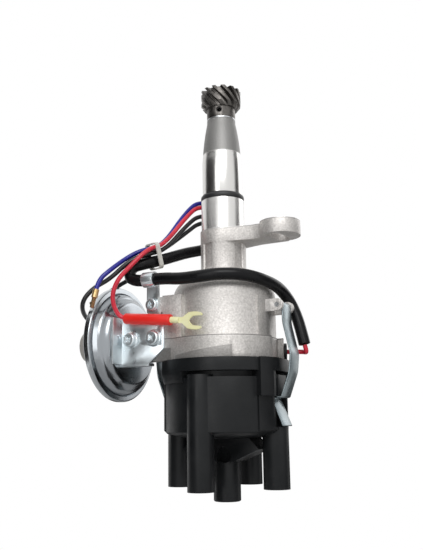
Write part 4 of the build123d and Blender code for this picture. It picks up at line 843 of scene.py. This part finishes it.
working = bmesh.new()
addForkPlate(working)
addForkBarrel(working)
bmesh.ops.recalc_face_normals(working, faces=working.faces)
forkMesh = bpy.data.meshes.new("stampedForkMesh")
working.to_mesh(forkMesh)
working.free()
forkMesh.shade_smooth()
forkMesh.set_sharp_from_angle(angle=math.radians(meshing["sharp"]))
addPiece("stampedFork", forkMesh, "fork_plate", "body", "fork_terminal")
print("stage: fork stamped")

canister = {
    "centreY": -0.0180,
    "centreZ": -0.0685,
    "rimX": -0.0650,
    "rimR": 0.0358,
    "rimHalf": 0.0022,
    "shell": 0.0012,
    "holeR": 0.0060,
    "plateauX": -0.0550,
    "plateauR": 0.0255,
    "shoulderX": -0.0780,
    "shoulderR": 0.0210,
    "bossR": 0.0120,
    "bossX": -0.0900,
    "bossStepX": -0.0855,
    "bossStepR": 0.0104,
    "edge": 0.0011,
}
rimX, rimR, rimHalf, shell = (canister[key] for key in ("rimX", "rimR", "rimHalf", "shell"))
plateauX, plateauR = canister["plateauX"], canister["plateauR"]
panBack = rounded(
    [
        (plateauX - shell, canister["holeR"]),
        (plateauX - shell, plateauR - shell * 0.4),
        (plateauX - 0.0036, plateauR + 0.0010),
        (plateauX - 0.0052, rimR - 0.0060),
        (rimX + 0.00002, rimR - 0.0043),
        (rimX + 0.00002, rimR - 0.0018),
    ],
    canister["edge"],
)
panFront = rounded(
    [
        (rimX + shell, rimR - 0.0018),
        (rimX + shell, rimR - 0.0036),
        (plateauX - 0.0042, rimR - 0.0052),
        (plateauX - 0.0028, plateauR + 0.0022),
        (plateauX, plateauR),
        (plateauX, canister["holeR"]),
    ],
    2 * canister["edge"],
    6,
)
centreY, centreZ = canister["centreY"], canister["centreZ"]
panMesh = turnedMesh("pressedPan", panBack + panFront, centreY, centreZ)
addPiece("pressedPan", panMesh, "zinc_canister", "body", "vacuum_pan")

coverX, coverR = canister["shoulderX"], canister["shoulderR"]
bossR, bossX, bossStepX = canister["bossR"], canister["bossX"], canister["bossStepX"]
bossStepR = canister["bossStepR"]
coverOutside = rounded(
    [
        (rimX + rimHalf, rimR - 0.0032),
        (rimX + rimHalf, rimR - 0.0006),
        (rimX + rimHalf - 0.0006, rimR),
        (rimX - rimHalf + 0.0006, rimR),
        (rimX - rimHalf, rimR - 0.0008),
        (rimX - rimHalf - 0.0010, rimR - 0.0036),
        (rimX - rimHalf - 0.0040, rimR - 0.0070),
        (rimX - rimHalf - 0.0050, rimR - 0.0096),
        (coverX + 0.0024, coverR + 0.0024),
        (coverX, coverR - 0.0010),
        (coverX, bossR),
        (bossStepX, bossR),
        (bossStepX, bossStepR),
        (bossX, bossStepR),
        (bossX, 0.0),
    ],
    canister["edge"],
)
coverInside = rounded(
    [
        (bossStepX, 0.0),
        (bossStepX, bossStepR - 0.0016),
        (coverX + shell, bossStepR - 0.0016),
        (coverX + shell, coverR - 0.0014),
        (coverX + 0.0034, coverR + 0.0016),
        (rimX - rimHalf - 0.0038, rimR - 0.0100),
        (rimX - rimHalf - 0.0030, rimR - 0.0076),
        (rimX - 0.0010, rimR - 0.0042),
        (rimX - 0.0007, rimR - 0.0012),
        (rimX + shell + 0.00004, rimR - 0.0012),
        (rimX + shell + 0.00004, rimR - 0.0032),
    ],
    0.0002,
    2,
)
coverMesh = turnedMesh("crimpedCover", coverOutside + coverInside, centreY, centreZ)
addPiece("crimpedCover", coverMesh, "zinc_canister", "body", "vacuum_cover")
print("stage: canister turned")


def woundSpring(name, node, axis, wire, turns):
    # Round wire wound inside the solid that stands for the spring, with a closed turn at each end
    corners = [nodes[node].matrix_world @ Vector(corner) for corner in nodes[node].bound_box]
    low = Vector(min(corner[i] for corner in corners) for i in range(3))
    high = Vector(max(corner[i] for corner in corners) for i in range(3))
    across = [i for i in range(3) if i != axis]
    middle = (low + high) / 2
    radius = (high[across[0]] - low[across[0]]) / 2 - wire
    start, end = low[axis] + wire, high[axis] - wire
    perTurn = 20
    curve = bpy.data.curves.new(name + "Curve", "CURVE")
    curve.dimensions = "3D"
    curve.bevel_depth = wire
    curve.bevel_resolution = 3
    curve.use_fill_caps = True
    spline = curve.splines.new("POLY")
    spline.points.add(turns * perTurn)
    for index, place in enumerate(spline.points):
        turned = index / perTurn
        rise = min(max((turned - 1) / (turns - 2), 0.0), 1.0)
        along = start + (end - start) * rise
        angle = 2 * math.pi * turned
        point = Vector((0.0, 0.0, 0.0))
        point[axis] = along
        point[across[0]] = middle[across[0]] + radius * math.cos(angle)
        point[across[1]] = middle[across[1]] + radius * math.sin(angle)
        place.co = (*point, 1.0)
    temporary = bpy.data.objects.new(name + "Work", curve)
    bpy.context.scene.collection.objects.link(temporary)
    depsgraph = bpy.context.evaluated_depsgraph_get()
    mesh = bpy.data.meshes.new_from_object(temporary.evaluated_get(depsgraph))
    bpy.data.objects.remove(temporary)
    mesh.shade_smooth()
    return addPiece(name, mesh, slotOf[node], bodyOf(node), node)


woundSpring("brushSpring", "brush_spring", axis=2, wire=0.00030, turns=16)
woundSpring("returnSpring", "vacuum_spring", axis=0, wire=0.00080, turns=7)
print("stage: springs wound")

cordFacts = (
    (leadSleeve, sleevePoints[0], sleeveR, "bare", "limp", (leadTail, nodes["cable_tie"])),
    (redLead, redPoints[0], leadR, "fitting", "limp", ("softBoot", "stampedFork")),
    (blueLead, bluePoints[0], leadR, "fitting", "limp", (nodes["blue_terminal"],)),
    (blackLeadA, blackAPoints[0], leadR, "bare", "limp", ()),
    (blackLeadB, blackBPoints[0], leadR, "fitting", "limp", (nodes["black_terminal"],)),
)
for piece, start, radius, farEnd, stiffness, carried in cordFacts:
    length = runLength(piece)
    print("cord", piece.name, round(length, 4))

# Camera at the cap's height, looking up a little from the front right
cameraPlace = Vector((0.20497, -0.39986, -0.1198))
forward = Vector((-0.4616, 0.8638, 0.2021))
rightLevel = Vector((0.8820, 0.4713, 0.0))
upLevel = Vector((0.0952, -0.1782, 0.9794))
roll = 0.01342
right = (rightLevel - roll * upLevel).normalized()
up = (upLevel + roll * right).normalized()
cameraData = bpy.data.cameras.new("camera")
cameraData.lens = 48.01
cameraData.sensor_width = 36.0
cameraData.clip_start = 0.01
camera = bpy.data.objects.new("camera", cameraData)
camera.matrix_world = Matrix(
    (
        (right.x, up.x, -forward.x, cameraPlace.x),
        (right.y, up.y, -forward.y, cameraPlace.y),
        (right.z, up.z, -forward.z, cameraPlace.z),
        (0.0, 0.0, 0.0, 1.0),
    )
)
bpy.context.scene.collection.objects.link(camera)
bpy.context.scene.camera = camera
bpy.context.scene.view_settings.view_transform = "Standard"

# White surroundings for the eye and for reflections, softer light for everything else
world = bpy.data.worlds.new("studio")
world.use_nodes = True
bpy.context.scene.world = world
studioLevel = {"light": 0.32, "seen": 1.0}
tree, links = world.node_tree.nodes, world.node_tree.links
background = tree["Background"]
rays = tree.new("ShaderNodeLightPath").outputs
seen = reckoned(tree, links, "MAXIMUM", rays["Is Transmission Ray"], rays["Is Glossy Ray"])
seen = reckoned(tree, links, "MAXIMUM", rays["Is Camera Ray"], seen)
level = ranged(tree, links, seen, 0.0, 1.0, studioLevel["light"], studioLevel["seen"])
background.inputs["Color"].default_value = (1.0, 1.0, 1.0, 1.0)
links.new(level, background.inputs["Strength"])


def addLamp(name, place, target, width, height, power):
    lampData = bpy.data.lights.new(name, "AREA")
    lampData.shape = "RECTANGLE"
    lampData.size = width
    lampData.size_y = height
    lampData.energy = power
    lamp = bpy.data.objects.new(name, lampData)
    lamp.location = place
    lamp.rotation_euler = (Vector(target) - Vector(place)).to_track_quat("-Z", "Y").to_euler()
    bpy.context.scene.collection.objects.link(lamp)


lampAim = (0.0, 0.0, -0.04)
addLamp("keyLamp", (0.35, -0.60, 0.45), lampAim, width=0.45, height=0.45, power=3.6)
addLamp("frontLamp", (-0.02, -0.70, 0.05), lampAim, width=0.20, height=0.60, power=0.8)
addLamp("rimLamp", (0.30, 0.70, 0.30), lampAim, width=0.50, height=0.50, power=1.0)


def addFlag(name, startAngle, endAngle, radius, low, high):
    # A dark studio card curved round the axis, seen only in reflections
    mesh = bpy.data.meshes.new(name)
    steps = 12
    corners = []
    for step in range(steps + 1):
        turn = math.radians(startAngle + (endAngle - startAngle) * step / steps)
        for height in (low, high):
            corners.append((radius * math.cos(turn), radius * math.sin(turn), height))
    faces = [(2 * step, 2 * step + 2, 2 * step + 3, 2 * step + 1) for step in range(steps)]
    mesh.from_pydata(corners, [], faces)
    mesh.materials.append(flagCloth)
    card = bpy.data.objects.new(name, mesh)
    card.visible_camera = False
    card.visible_shadow = False
    bpy.context.scene.collection.objects.link(card)


flagCloth = surface(
    "flagCloth",
    dark=(0.030, 0.028, 0.028),
    light=(0.045, 0.042, 0.042),
    metallic=0.0,
    rough=(0.8, 0.9),
    scale=5.0,
    specular=0.1,
)
addFlag("leftFlag", startAngle=-170.0, endAngle=-99.0, radius=0.75, low=-0.45, high=0.55)
addFlag("rightFlag", startAngle=14.0, endAngle=44.0, radius=0.75, low=-0.45, high=0.55)
addFlag("backFlag", startAngle=60.0, endAngle=150.0, radius=0.45, low=-0.60, high=-0.12)

floorMesh = bpy.data.meshes.new("floorMesh")
outline = bmesh.new()
floorSizes = {"radius": 0.34, "height": -0.26}
bmesh.ops.create_circle(outline, cap_ends=True, segments=64, radius=floorSizes["radius"])
bmesh.ops.translate(outline, verts=outline.verts, vec=(0.0, 0.0, floorSizes["height"]))
outline.to_mesh(floorMesh)
outline.free()
floor = bpy.data.objects.new("floor", floorMesh)
bpy.context.scene.collection.objects.link(floor)
floorMesh.materials.append(surface(
    "paleFloor",
    dark=(0.86, 0.86, 0.86),
    light=(0.90, 0.90, 0.90),
    metallic=0.0,
    rough=(0.7, 0.8),
    scale=5.0,
))

bpy.context.view_layer.update()
